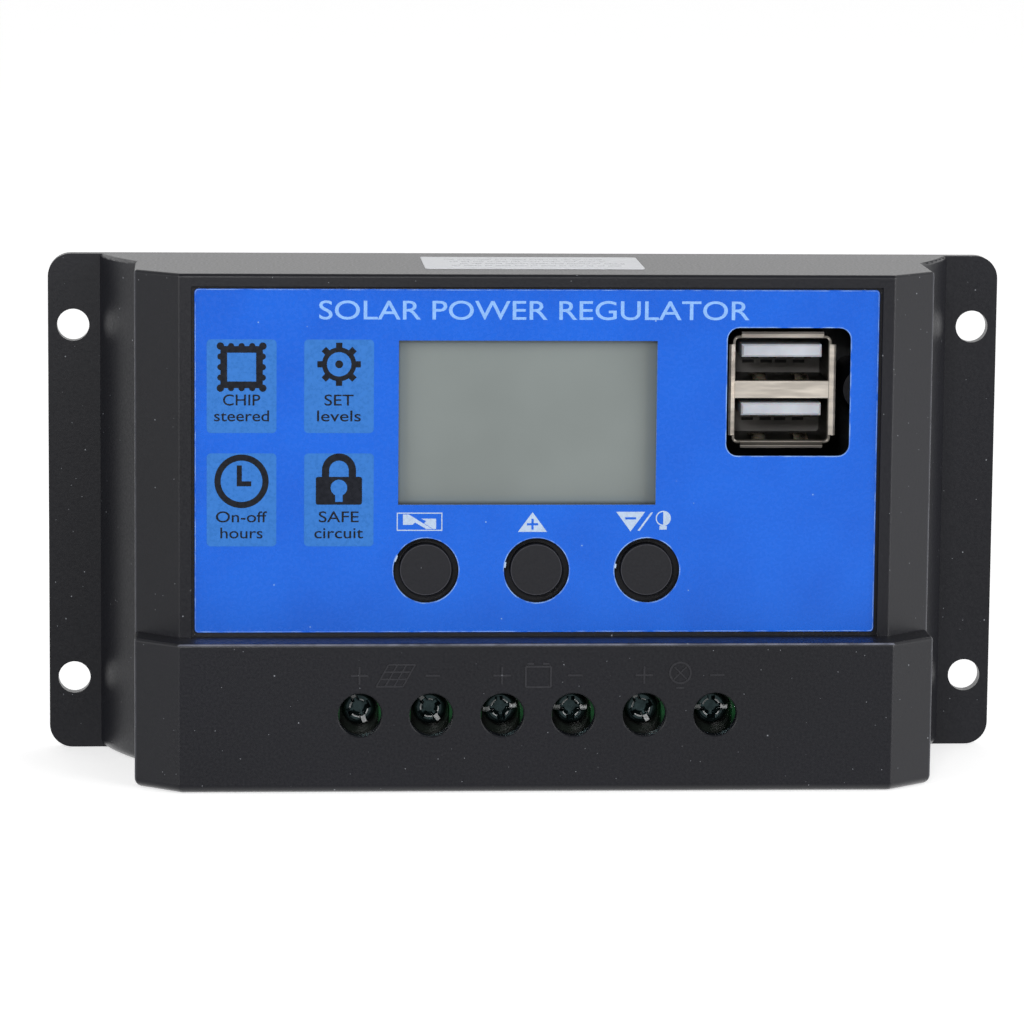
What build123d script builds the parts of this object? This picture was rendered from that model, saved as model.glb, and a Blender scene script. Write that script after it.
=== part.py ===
from build123d import *
import os

# Wall-mounted solar charge controller.
# It hangs upright: +Z is up, the front faces -Y and the back lies in the wall plane, y = 0.
# The origin is the centre of the four mounting holes, in the wall plane.
# A depth is counted from the wall plane towards the front, so depth d lies at y = -d.
# Plane.XZ has its normal along -Y, so Plane.XZ.offset(d) is the plane at depth d.

# Case outline
case_width = 133.5
case_height = 70.0
case_depth = 35.0
case_top = case_height / 2
case_bottom = -case_height / 2
wall = 2.0
edge_radius = 0.5
base_edge_radius = 1.2

# Flanges with the mounting holes
flange_depth = 2.0
flange_corner_radius = 3.2
hole_spacing_x = 126.5
hole_spacing_z = 50.0
hole_radius = 2.25

# Side walls flare out to the flanges, then run straight and end in a chamfer
flare_x = 59.5
flare_mid_x = 57.6
flare_mid_depth = 7.0
side_x = 54.45
side_start_depth = 12.8
panel_x = 48.35
panel_depth = 29.8
panel_chamfer_depth = 24.3
cover_chamfer_depth = 30.1
step_z = -14.5

# Core-outs in the back of the flare
core_x = 55.3
core_width = 2.6
core_depth = 5.0
core_length = 19.0
core_pitch = 22.0
core_count = 3

# Front label in its recess
recess_depth = 29.0
recess_half_width = 46.75
recess_top = 33.3
label_half_width = 46.3
label_bottom = -13.9
label_top = 32.95
label_thickness = 0.3
label_radius = 0.5

# Display window in the label, and the wider window in the case behind it
display_x = -1.3
display_z = 14.8
display_width = 35.0
display_height = 22.4
display_margin = 1.1

# USB window
usb_window_x = 34.1
usb_window_z = 19.05
usb_window_width = 16.8
usb_window_height = 17.5
usb_window_radius = 1.6
usb_window_margin = 0.3

# Buttons
button_x = 0.07
button_z = -5.4
button_pitch = 15.05
button_count = 3
button_hole_radius = 4.45
button_radius = 3.6
button_front_depth = 28.75
button_collar_radius = 5.1
button_collar_depth = 26.2
button_collar_thickness = 1.0
button_stem_radius = 2.0
button_chamfer = 0.15

# Back plate and its four countersunk screws
plate_thickness = 1.5
plate_gap = 0.4
corner_boss_x = 49.5
corner_boss_z = 30.0
corner_boss_radius = 3.5
corner_boss_top_depth = 24.0
plate_screw_head_radius = 2.8
plate_screw_length = 10.0
screw_shank_radius = 1.45
pilot_radius = 1.5
pilot_depth = 9.5

# Main board and its four screws
board_back_depth = 9.5
board_thickness = 1.6
board_front_depth = board_back_depth + board_thickness
board_half_width = 51.8
board_half_height = 32.4
board_notch_radius = 4.2
board_boss_spacing_x = 90.0
board_boss_spacing_z = 28.0
board_boss_z = 5.0
board_boss_radius = 3.0
board_boss_top_depth = 28.2
board_screw_head_radius = 2.6
board_screw_head_thickness = 1.8
board_screw_length = 8.0
board_pilot_depth = 8.0

# Display module
glass_front_depth = 27.7
glass_thickness = 2.6
glass_width = 42.0
glass_height = 27.6
backlight_thickness = 2.6
backlight_width = 38.0
backlight_height = 26.0
display_pin_count = 12
display_pin_pitch = 2.54
display_pin_width = 0.5
display_pin_thickness = 0.3

# Tact switches under the buttons
switch_size = 6.0
switch_height = 3.5
switch_bore_radius = 1.8
switch_bore_floor_depth = 12.2
plunger_radius = 1.75
plunger_tail_depth = 13.0
plunger_top_depth = 16.1
switch_leg_width = 0.7
switch_leg_thickness = 0.3
switch_leg_spacing = 4.5

# Twin USB socket, standing on the board
usb_x = 33.4
usb_z = 19.15
usb_inner_width = 12.8
usb_inner_height = 14.1
usb_sheet = 0.3
usb_front_depth = 27.3
usb_lip_reach = 0.6
usb_lip_width_x = 11.2
usb_lip_width_z = 12.4
usb_divider_height = 2.3
usb_insulator_depth = 17.0
tongue_width = 10.9
tongue_thickness = 1.7
tongue_front_depth = 26.8
tongue_offsets_z = (5.25, -2.75)
contact_count = 4
contact_pitch = 2.4
contact_width = 1.0
contact_thickness = 0.25
contact_front_depth = 25.9

# Terminal block: six screw clamps in a row
terminal_count = 6
terminal_pitch = 9.64
terminal_x = 0.07
terminal_z = -24.3
access_hole_radius = 2.95
access_hole_chamfer = 0.15
radius_tolerance = 0.01
housing_top = -16.9
housing_bottom = -32.8
housing_margin = 0.9
housing_front_depth = 31.5
well_radius = 2.65
well_drop = 1.2
well_floor_depth = 27.0
chamber_front_depth = 26.0
chamber_back_depth = 13.4
chamber_half_width = 3.65
chamber_top = -18.2
chamber_bottom = -31.6
entry_half_width = 3.2
entry_low_depth = 13.6
entry_high_depth = 20.4
case_entry_half_width = 3.7
case_entry_low_depth = 12.9
case_entry_high_depth = 21.1

# Terminal screws, clamps and bars
head_radius = 2.3
head_front_depth = 29.5
head_back_depth = 27.1
thread_radius = 1.75
thread_hole_radius = 1.8
thread_tip_depth = 20.6
slot_width = 0.65
slot_depth = 0.9
cross_length = 3.2
cross_width = 1.1
cross_depth = 1.4
recess_dish_radius = 1.15
recess_taper = 15
head_edge_radius = 0.7
# Where each screw's slot was left, counter-clockwise from level as seen from the front
screw_rest_turns = (114, 128, 8, 0, 117, 1)
clamp_half_width = 3.3
clamp_side = 0.8
clamp_back_depth = 13.8
clamp_floor = 1.0
clamp_front_depth = 22.6
clamp_bridge = 1.6
clamp_length = 7.0
bar_half_width = 2.2
bar_back_depth = 19.4
bar_thickness = 1.0
bar_bottom = -29.5
pin_width = 1.2
pin_tip_depth = 8.6
pin_hole_radius = 0.85

# Power transistors lying on the thermal pad behind the board
pad_thickness = 0.5
pad_width = 84.0
pad_height = 20.0
pad_z = 5.0
transistor_count = 4
transistor_pitch = 21.0
transistor_width = 10.2
transistor_body_height = 9.2
transistor_body_thickness = 4.5
transistor_body_z = 2.0
tab_height = 6.4
tab_thickness = 1.3
tab_hole_radius = 1.8
leg_pitch = 2.54
leg_width = 0.8
leg_thickness = 0.45
leg_depth = 4.4
leg_drop = 3.2
leg_hole_radius = 0.65

# Electronics on the front of the board
capacitor_x = -35.0
capacitor_places_z = (19.0, 4.5)
capacitor_radius = 5.0
capacitor_height = 13.0
capacitor_crimp_height = 2.4
capacitor_crimp_radius = 4.6
capacitor_crimp_width = 0.8
inductor_x = 29.0
inductor_z = 2.4
inductor_core_radius = 4.9
inductor_waist_radius = 2.6
inductor_height = 5.4
inductor_flange = 0.9
winding_radius = 4.3
controller_x = -4.0
controller_z = 16.0
controller_size = 7.0
controller_thickness = 1.4
chip_places = ((21.5, 3.0), (-22.0, 24.0), (-24.0, -11.5))
chip_width = 3.9
chip_height = 4.9
chip_thickness = 1.5
diode_places = ((40.0, 1.0), (-37.5, -8.0), (38.0, -11.5))
diode_width = 6.8
diode_height = 4.6
diode_thickness = 2.3
shunt_x = 8.0
shunt_z = -12.6
shunt_length = 14.0
shunt_width = 2.4
shunt_thickness = 0.8
shunt_rise = 2.6
chip_part_columns = 6
chip_part_rows = 3
chip_part_x = -8.0
chip_part_z = 6.0
chip_part_pitch_x = 4.6
chip_part_pitch_z = 2.8
chip_part_width = 1.6
chip_part_height = 0.8
chip_part_thickness = 0.5

# Blank rating sticker on the top of the case
sticker_width = 30.0
sticker_length = 15.6
sticker_depth = 14.5
sticker_thickness = 0.12

# Worked-out places
flange_x = case_width / 2
plate_front_depth = plate_thickness
pad_front_depth = plate_front_depth + pad_thickness
glass_back_depth = glass_front_depth - glass_thickness
backlight_back_depth = glass_back_depth - backlight_thickness
usb_outer_width = usb_inner_width + 2 * usb_sheet
usb_outer_height = usb_inner_height + 2 * usb_sheet
housing_half_width = terminal_count * terminal_pitch / 2 + housing_margin
terminal_xs = [terminal_x + (i - (terminal_count - 1) / 2) * terminal_pitch for i in range(terminal_count)]
button_xs = [button_x + (i - (button_count - 1) / 2) * button_pitch for i in range(button_count)]
transistor_xs = [(i - (transistor_count - 1) / 2) * transistor_pitch for i in range(transistor_count)]
leg_z = transistor_body_z - transistor_body_height / 2 - leg_drop
pin_z = chamber_top - pin_width / 2


def box_outline(front_depth, chamfer_depth, back):
    """Corners of the case's section above z, from its back line to the chamfered front."""
    return [
        (-side_x, back),
        (side_x, back),
        (side_x, -chamfer_depth),
        (panel_x, -front_depth),
        (-panel_x, -front_depth),
        (-side_x, -chamfer_depth),
    ]


os.makedirs("parts", exist_ok=True)

# ---------------------------------------------------------------- front shell
with BuildPart() as front_shell:
    # Flanged outline up to the panel, drawn for one side and mirrored
    with BuildSketch(Plane.XY.offset(case_bottom)):
        with BuildLine():
            Polyline((0, 0), (flange_x, 0), (flange_x, -flange_depth), (flare_x, -flange_depth))
            ThreePointArc(
                (flare_x, -flange_depth),
                (flare_mid_x, -flare_mid_depth),
                (side_x, -side_start_depth),
            )
            Polyline(
                (side_x, -side_start_depth),
                (side_x, -panel_chamfer_depth),
                (panel_x, -panel_depth),
                (0, -panel_depth),
            )
            mirror(about=Plane.YZ)
        make_face()
    extrude(amount=case_height)
    # Deeper terminal cover along the bottom
    with BuildSketch(Plane.XY.offset(case_bottom)):
        Polygon(*box_outline(case_depth, cover_chamfer_depth, -side_start_depth), align=None)
    extrude(amount=step_z - case_bottom)

    # Flange corners, then the long upright edges, then the rims at the top, step and base
    fillet(
        front_shell.edges()
        .filter_by(Axis.Y)
        .filter_by(lambda edge: abs(edge.center().X) > flange_x - flange_corner_radius),
        radius=flange_corner_radius,
    )
    fillet(
        front_shell.edges()
        .filter_by(Axis.Z)
        .filter_by(lambda edge: edge.center().Y < -side_start_depth - wall),
        radius=edge_radius,
    )
    fillet(
        front_shell.edges()
        .filter_by(lambda edge: abs(edge.center().Z - case_top) < edge_radius / 2)
        .filter_by(lambda edge: edge.center().Y < -flange_depth - edge_radius),
        radius=edge_radius,
    )
    fillet(
        front_shell.edges()
        .filter_by(lambda edge: abs(edge.center().Z - step_z) < edge_radius / 2)
        .filter_by(lambda edge: edge.center().Y < -panel_depth - edge_radius),
        radius=edge_radius,
    )
    fillet(
        front_shell.edges()
        .filter_by(lambda edge: abs(edge.center().Z - case_bottom) < edge_radius / 2)
        .filter_by(lambda edge: edge.center().Y < -flange_depth - edge_radius),
        radius=base_edge_radius,
    )

    # Hollow, one wall inside the outline
    with BuildSketch(Plane.XY.offset(case_bottom + wall)):
        Polygon(*box_outline(panel_depth, panel_chamfer_depth, wall), align=None)
        offset(amount=-wall, kind=Kind.INTERSECTION)
    extrude(amount=case_height - 2 * wall, mode=Mode.SUBTRACT)
    with BuildSketch(Plane.XY.offset(case_bottom + wall)):
        Polygon(*box_outline(case_depth, cover_chamfer_depth, wall), align=None)
        offset(amount=-wall, kind=Kind.INTERSECTION)
    extrude(amount=step_z - case_bottom - 2 * wall, mode=Mode.SUBTRACT)

    # Bosses for the plate screws in the corners, and for the board screws
    with BuildSketch(Plane.XZ.offset(plate_front_depth)):
        with GridLocations(2 * corner_boss_x, 2 * corner_boss_z, 2, 2):
            Circle(corner_boss_radius)
    extrude(amount=corner_boss_top_depth - plate_front_depth)
    with BuildSketch(Plane.XZ.offset(board_front_depth)):
        with Locations((0, board_boss_z)):
            with GridLocations(board_boss_spacing_x, board_boss_spacing_z, 2, 2):
                Circle(board_boss_radius)
    extrude(amount=board_boss_top_depth - board_front_depth)
    with BuildSketch(Plane.XZ.offset(plate_front_depth)):
        with GridLocations(2 * corner_boss_x, 2 * corner_boss_z, 2, 2):
            Circle(pilot_radius)
    extrude(amount=pilot_depth, mode=Mode.SUBTRACT)
    with BuildSketch(Plane.XZ.offset(board_front_depth)):
        with Locations((0, board_boss_z)):
            with GridLocations(board_boss_spacing_x, board_boss_spacing_z, 2, 2):
                Circle(pilot_radius)
    extrude(amount=board_pilot_depth, mode=Mode.SUBTRACT)

    # Mounting holes and core-outs
    with BuildSketch(Plane.XZ):
        with GridLocations(hole_spacing_x, hole_spacing_z, 2, 2):
            Circle(hole_radius)
    extrude(amount=flange_depth, mode=Mode.SUBTRACT)
    with BuildSketch(Plane.XZ):
        with GridLocations(2 * core_x, core_pitch, 2, core_count):
            RectangleRounded(core_width, core_length, edge_radius)
    extrude(amount=core_depth, mode=Mode.SUBTRACT)

    # Label recess, which runs down to the step
    with BuildSketch(Plane.XZ.offset(recess_depth)):
        with Locations((0, (recess_top + step_z) / 2)):
            Rectangle(2 * recess_half_width, recess_top - step_z)
    extrude(amount=case_depth - recess_depth, mode=Mode.SUBTRACT)

    # Windows, button holes and screwdriver holes
    with BuildSketch(Plane.XZ.offset(panel_depth - 2 * wall)):
        with Locations((display_x, display_z)):
            Rectangle(display_width + 2 * display_margin, display_height + 2 * display_margin)
        with Locations((usb_window_x, usb_window_z)):
            RectangleRounded(
                usb_window_width + 2 * usb_window_margin,
                usb_window_height + 2 * usb_window_margin,
                usb_window_radius + usb_window_margin,
            )
        with Locations(*[(x, button_z) for x in button_xs]):
            Circle(button_hole_radius)
    extrude(amount=2 * wall, mode=Mode.SUBTRACT)
    with BuildSketch(Plane.XZ.offset(case_depth - wall)):
        with Locations(*[(x, terminal_z) for x in terminal_xs]):
            Circle(access_hole_radius)
    extrude(amount=wall, mode=Mode.SUBTRACT)
    chamfer(
        front_shell.edges()
        .filter_by(GeomType.CIRCLE)
        .filter_by(lambda edge: abs(edge.radius - access_hole_radius) < radius_tolerance)
        .group_by(Axis.Y)[0],
        length=access_hole_chamfer,
    )

    # Wire entries through the bottom wall
    with BuildSketch(Plane.XY.offset(case_bottom)):
        with Locations(*[(x, -(case_entry_low_depth + case_entry_high_depth) / 2) for x in terminal_xs]):
            RectangleRounded(
                2 * case_entry_half_width,
                case_entry_high_depth - case_entry_low_depth,
                edge_radius,
            )
    extrude(amount=wall, mode=Mode.SUBTRACT)
front_shell.part.label = "front_shell"
export_step(front_shell.part, "parts/front_shell.step")

# ---------------------------------------------------------------- labels
with BuildPart() as front_label:
    with BuildSketch(Plane.XZ.offset(recess_depth)):
        with Locations((0, (label_top + label_bottom) / 2)):
            RectangleRounded(2 * label_half_width, label_top - label_bottom, label_radius)
        with Locations((display_x, display_z)):
            Rectangle(display_width, display_height, mode=Mode.SUBTRACT)
        with Locations((usb_window_x, usb_window_z)):
            RectangleRounded(
                usb_window_width,
                usb_window_height,
                usb_window_radius,
                mode=Mode.SUBTRACT,
            )
        with Locations(*[(x, button_z) for x in button_xs]):
            Circle(button_hole_radius, mode=Mode.SUBTRACT)
    extrude(amount=label_thickness)
front_label.part.label = "front_label"
export_step(front_label.part, "parts/front_label.step")

with BuildPart() as rating_label:
    with BuildSketch(Plane.XY.offset(case_top)):
        with Locations((0, -sticker_depth)):
            RectangleRounded(sticker_width, sticker_length, edge_radius)
    extrude(amount=sticker_thickness)
rating_label.part.label = "rating_label"
export_step(rating_label.part, "parts/rating_label.step")

# ---------------------------------------------------------------- back plate
with BuildPart() as back_plate:
    with BuildSketch(Plane.XZ):
        Rectangle(2 * (side_x - wall - plate_gap), case_height - 2 * wall - 2 * plate_gap)
    extrude(amount=plate_thickness)
    fillet(back_plate.edges().filter_by(Axis.Y), radius=1.0)
    # Countersinks open to the wall side
    for x in (-corner_boss_x, corner_boss_x):
        for z in (-corner_boss_z, corner_boss_z):
            with BuildSketch(Plane(origin=(x, 0, z), x_dir=(1, 0, 0), z_dir=(0, 0, 1))):
                with BuildLine():
                    Polyline(
                        (0, 0),
                        (plate_screw_head_radius, 0),
                        (screw_shank_radius, -plate_thickness),
                        (0, -plate_thickness),
                        close=True,
                    )
                make_face()
            revolve(axis=Axis((x, 0, z), (0, 1, 0)), mode=Mode.SUBTRACT)
back_plate.part.label = "back_plate"
export_step(back_plate.part, "parts/back_plate.step")

with BuildPart() as back_screws:
    for x in (-corner_boss_x, corner_boss_x):
        for z in (-corner_boss_z, corner_boss_z):
            with BuildSketch(Plane(origin=(x, 0, z), x_dir=(1, 0, 0), z_dir=(0, 0, 1))):
                with BuildLine():
                    Polyline(
                        (0, 0),
                        (plate_screw_head_radius, 0),
                        (screw_shank_radius, -plate_thickness),
                        (screw_shank_radius, -plate_screw_length + screw_shank_radius),
                        (0, -plate_screw_length),
                        close=True,
                    )
                make_face()
            revolve(axis=Axis((x, 0, z), (0, 1, 0)))
    # Cross recesses
    with BuildSketch(Plane.XZ):
        with GridLocations(2 * corner_boss_x, 2 * corner_boss_z, 2, 2):
            Rectangle(cross_length, cross_width)
            Rectangle(cross_width, cross_length)
    extrude(amount=slot_depth, mode=Mode.SUBTRACT)
back_screws.part.label = "back_screws"
export_step(back_screws.part, "parts/back_screws.step")

# ---------------------------------------------------------------- main board
with BuildPart() as main_board:
    with BuildSketch(Plane.XZ.offset(board_back_depth)):
        Rectangle(2 * board_half_width, 2 * board_half_height)
        with GridLocations(2 * corner_boss_x, 2 * corner_boss_z, 2, 2):
            Circle(board_notch_radius, mode=Mode.SUBTRACT)
        with GridLocations(2 * board_half_width, 2 * board_half_height, 2, 2):
            Rectangle(2 * board_notch_radius, 2 * board_notch_radius, mode=Mode.SUBTRACT)
        with Locations((0, board_boss_z)):
            with GridLocations(board_boss_spacing_x, board_boss_spacing_z, 2, 2):
                Circle(pilot_radius, mode=Mode.SUBTRACT)
        with Locations(*[(x, pin_z) for x in terminal_xs]):
            Circle(pin_hole_radius, mode=Mode.SUBTRACT)
        with Locations(*[(x + n * leg_pitch, leg_z) for x in transistor_xs for n in (-1, 0, 1)]):
            Circle(leg_hole_radius, mode=Mode.SUBTRACT)
    extrude(amount=board_thickness)
main_board.part.label = "main_board"
export_step(main_board.part, "parts/main_board.step")

with BuildPart() as board_screws:
    with BuildSketch(Plane.XZ.offset(board_back_depth - board_screw_head_thickness)):
        with Locations((0, board_boss_z)):
            with GridLocations(board_boss_spacing_x, board_boss_spacing_z, 2, 2):
                Circle(board_screw_head_radius)
    extrude(amount=board_screw_head_thickness)
    with BuildSketch(Plane.XZ.offset(board_back_depth)):
        with Locations((0, board_boss_z)):
            with GridLocations(board_boss_spacing_x, board_boss_spacing_z, 2, 2):
                Circle(screw_shank_radius)
    extrude(amount=board_screw_length)
    with BuildSketch(Plane.XZ.offset(board_back_depth - board_screw_head_thickness)):
        with Locations((0, board_boss_z)):
            with GridLocations(board_boss_spacing_x, board_boss_spacing_z, 2, 2):
                Rectangle(cross_length, cross_width)
                Rectangle(cross_width, cross_length)
    extrude(amount=slot_depth, mode=Mode.SUBTRACT)
board_screws.part.label = "board_screws"
export_step(board_screws.part, "parts/board_screws.step")

# ---------------------------------------------------------------- display
with BuildPart() as lcd_glass:
    with BuildSketch(Plane.XZ.offset(glass_back_depth)):
        with Locations((display_x, display_z)):
            Rectangle(glass_width, glass_height)
    extrude(amount=glass_thickness)
lcd_glass.part.label = "lcd_glass"
export_step(lcd_glass.part, "parts/lcd_glass.step")

with BuildPart() as lcd_backlight:
    with BuildSketch(Plane.XZ.offset(backlight_back_depth)):
        with Locations((display_x, display_z)):
            RectangleRounded(backlight_width, backlight_height, edge_radius)
    extrude(amount=backlight_thickness)
lcd_backlight.part.label = "lcd_backlight"
export_step(lcd_backlight.part, "parts/lcd_backlight.step")

with BuildPart() as lcd_pins:
    with BuildSketch(Plane.XZ.offset(board_front_depth)):
        with Locations((display_x, display_z + (glass_height + display_pin_thickness) / 2)):
            with GridLocations(display_pin_pitch, 0, display_pin_count, 1):
                Rectangle(display_pin_width, display_pin_thickness)
    extrude(amount=glass_front_depth - board_front_depth - glass_thickness / 2)
lcd_pins.part.label = "lcd_pins"
export_step(lcd_pins.part, "parts/lcd_pins.step")

# ---------------------------------------------------------------- buttons and switches
for number, x in enumerate(button_xs, start=1):
    with BuildPart() as button_cap:
        with BuildSketch(Plane.XZ.offset(button_collar_depth)):
            with Locations((x, button_z)):
                Circle(button_radius)
        extrude(amount=button_front_depth - button_collar_depth)
        chamfer(button_cap.faces().sort_by(Axis.Y)[0].edges(), length=button_chamfer)
        with BuildSketch(Plane.XZ.offset(button_collar_depth)):
            with Locations((x, button_z)):
                Circle(button_collar_radius)
        extrude(amount=button_collar_thickness)
        with BuildSketch(Plane.XZ.offset(plunger_top_depth)):
            with Locations((x, button_z)):
                Circle(button_stem_radius)
        extrude(amount=button_collar_depth - plunger_top_depth)
    button_cap.part.label = f"button_cap_{number}"
    export_step(button_cap.part, f"parts/button_cap_{number}.step")

    with BuildPart() as switch_base:
        with BuildSketch(Plane.XZ.offset(board_front_depth)):
            with Locations((x, button_z)):
                RectangleRounded(switch_size, switch_size, edge_radius)
        extrude(amount=switch_height)
        with BuildSketch(Plane.XZ.offset(switch_bore_floor_depth)):
            with Locations((x, button_z)):
                Circle(switch_bore_radius)
        extrude(amount=board_front_depth + switch_height - switch_bore_floor_depth, mode=Mode.SUBTRACT)
    switch_base.part.label = f"switch_base_{number}"
    export_step(switch_base.part, f"parts/switch_base_{number}.step")

    with BuildPart() as switch_plunger:
        with BuildSketch(Plane.XZ.offset(plunger_tail_depth)):
            with Locations((x, button_z)):
                Circle(plunger_radius)
        extrude(amount=plunger_top_depth - plunger_tail_depth)
    switch_plunger.part.label = f"switch_plunger_{number}"
    export_step(switch_plunger.part, f"parts/switch_plunger_{number}.step")

with BuildPart() as switch_legs:
    # Each switch stands on four flat legs beside its base
    with BuildSketch(Plane.XZ.offset(board_front_depth)):
        with Locations(*[(x, button_z) for x in button_xs]):
            with GridLocations(switch_size + switch_leg_thickness, switch_leg_spacing, 2, 2):
                Rectangle(switch_leg_thickness, switch_leg_width)
    extrude(amount=switch_height / 2)
switch_legs.part.label = "switch_legs"
export_step(switch_legs.part, "parts/switch_legs.step")

# ---------------------------------------------------------------- twin USB socket
with BuildPart() as usb_shell:
    with BuildSketch(Plane.XZ.offset(board_front_depth)):
        with Locations((usb_x, usb_z)):
            RectangleRounded(usb_outer_width, usb_outer_height, edge_radius + usb_sheet)
            RectangleRounded(usb_inner_width, usb_inner_height, edge_radius, mode=Mode.SUBTRACT)
    extrude(amount=usb_front_depth - board_front_depth)
    # Flared lips that guide the plug, one on each side with open corners
    for side in (-1, 1):
        inner_x = usb_x + side * usb_inner_width / 2
        with BuildSketch(Plane.XY.offset(usb_z - usb_lip_width_z / 2)):
            Polygon(
                (inner_x, -usb_front_depth),
                (inner_x + side * usb_sheet, -usb_front_depth + usb_sheet),
                (inner_x + side * (usb_sheet + usb_lip_reach), -usb_front_depth - usb_lip_reach + usb_sheet),
                (inner_x + side * usb_lip_reach, -usb_front_depth - usb_lip_reach),
                align=None,
            )
        extrude(amount=usb_lip_width_z)
        inner_z = usb_z + side * usb_inner_height / 2
        with BuildSketch(Plane.YZ.offset(usb_x - usb_lip_width_x / 2)):
            Polygon(
                (-usb_front_depth, inner_z),
                (-usb_front_depth + usb_sheet, inner_z + side * usb_sheet),
                (-usb_front_depth - usb_lip_reach + usb_sheet, inner_z + side * (usb_sheet + usb_lip_reach)),
                (-usb_front_depth - usb_lip_reach, inner_z + side * usb_lip_reach),
                align=None,
            )
        extrude(amount=usb_lip_width_x)
    # Folded divider between the two ports
    with BuildSketch(Plane.XY.offset(usb_z - usb_divider_height / 2)):
        Polygon(
            (usb_x - usb_inner_width / 2, -usb_insulator_depth),
            (usb_x + usb_inner_width / 2, -usb_insulator_depth),
            (usb_x + usb_inner_width / 2, -usb_front_depth),
            (usb_x - usb_inner_width / 2, -usb_front_depth),
            align=None,
        )
    extrude(amount=usb_divider_height)
    with BuildSketch(Plane.XZ.offset(usb_insulator_depth)):
        with Locations((usb_x, usb_z)):
            Rectangle(usb_inner_width, usb_divider_height - 2 * usb_sheet)
    extrude(amount=usb_front_depth - usb_insulator_depth - usb_sheet, mode=Mode.SUBTRACT)
usb_shell.part.label = "usb_shell"
export_step(usb_shell.part, "parts/usb_shell.step")

with BuildPart() as usb_insulator:
    with BuildSketch(Plane.XZ.offset(board_front_depth)):
        with Locations((usb_x, usb_z)):
            RectangleRounded(usb_inner_width, usb_inner_height, edge_radius)
    extrude(amount=usb_insulator_depth - board_front_depth)
usb_insulator.part.label = "usb_insulator"
export_step(usb_insulator.part, "parts/usb_insulator.step")

with BuildPart() as usb_tongues:
    with BuildSketch(Plane.XZ.offset(usb_insulator_depth)):
        with Locations(*[(usb_x, usb_z + offset_z) for offset_z in tongue_offsets_z]):
            Rectangle(tongue_width, tongue_thickness)
    extrude(amount=tongue_front_depth - usb_insulator_depth)
    chamfer(usb_tongues.faces().filter_by(Axis.Y).group_by(Axis.Y)[0].edges(), length=0.25)
usb_tongues.part.label = "usb_tongues"
export_step(usb_tongues.part, "parts/usb_tongues.step")

with BuildPart() as usb_contacts:
    with BuildSketch(Plane.XZ.offset(usb_insulator_depth)):
        for offset_z in tongue_offsets_z:
            with Locations((usb_x, usb_z + offset_z - (tongue_thickness + contact_thickness) / 2)):
                with GridLocations(contact_pitch, 0, contact_count, 1):
                    Rectangle(contact_width, contact_thickness)
    extrude(amount=contact_front_depth - usb_insulator_depth)
usb_contacts.part.label = "usb_contacts"
export_step(usb_contacts.part, "parts/usb_contacts.step")

# ---------------------------------------------------------------- terminal block
with BuildPart() as terminal_housing:
    with BuildSketch(Plane.XZ.offset(board_front_depth)):
        with Locations((terminal_x, (housing_top + housing_bottom) / 2)):
            Rectangle(2 * housing_half_width, housing_top - housing_bottom)
    extrude(amount=housing_front_depth - board_front_depth)
    # Screw wells, shank holes, clamp chambers, wire entries and pin slots
    with BuildSketch(Plane.XZ.offset(well_floor_depth)):
        with Locations(*[(x, terminal_z - well_drop / 2) for x in terminal_xs]):
            SlotCenterToCenter(well_drop, 2 * well_radius, rotation=90)
    extrude(amount=housing_front_depth - well_floor_depth, mode=Mode.SUBTRACT)
    with BuildSketch(Plane.XZ.offset(chamber_front_depth)):
        with Locations(*[(x, terminal_z) for x in terminal_xs]):
            Circle(thread_hole_radius)
    extrude(amount=well_floor_depth - chamber_front_depth, mode=Mode.SUBTRACT)
    with BuildSketch(Plane.XZ.offset(chamber_back_depth)):
        with Locations(*[(x, (chamber_top + chamber_bottom) / 2) for x in terminal_xs]):
            Rectangle(2 * chamber_half_width, chamber_top - chamber_bottom)
    extrude(amount=chamber_front_depth - chamber_back_depth, mode=Mode.SUBTRACT)
    with BuildSketch(Plane.XY.offset(housing_bottom)):
        with Locations(*[(x, -(entry_low_depth + entry_high_depth) / 2) for x in terminal_xs]):
            Rectangle(2 * entry_half_width, entry_high_depth - entry_low_depth)
    extrude(amount=chamber_bottom - housing_bottom, mode=Mode.SUBTRACT)
    with BuildSketch(Plane.XZ.offset(board_front_depth)):
        with Locations(*[(x, pin_z) for x in terminal_xs]):
            Rectangle(pin_width, pin_width)
    extrude(amount=chamber_back_depth - board_front_depth, mode=Mode.SUBTRACT)
terminal_housing.part.label = "terminal_housing"
export_step(terminal_housing.part, "parts/terminal_housing.step")

with BuildPart() as terminal_bars:
    # Contact bar in each chamber, with its solder pin down through the board
    with BuildSketch(Plane.XZ.offset(bar_back_depth)):
        with Locations(*[(x, (chamber_top + bar_bottom) / 2) for x in terminal_xs]):
            Rectangle(2 * bar_half_width, chamber_top - bar_bottom)
    extrude(amount=bar_thickness)
    with BuildSketch(Plane.XZ.offset(pin_tip_depth)):
        with Locations(*[(x, pin_z) for x in terminal_xs]):
            Rectangle(pin_width, pin_width)
    extrude(amount=bar_back_depth - pin_tip_depth)
terminal_bars.part.label = "terminal_bars"
export_step(terminal_bars.part, "parts/terminal_bars.step")

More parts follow.
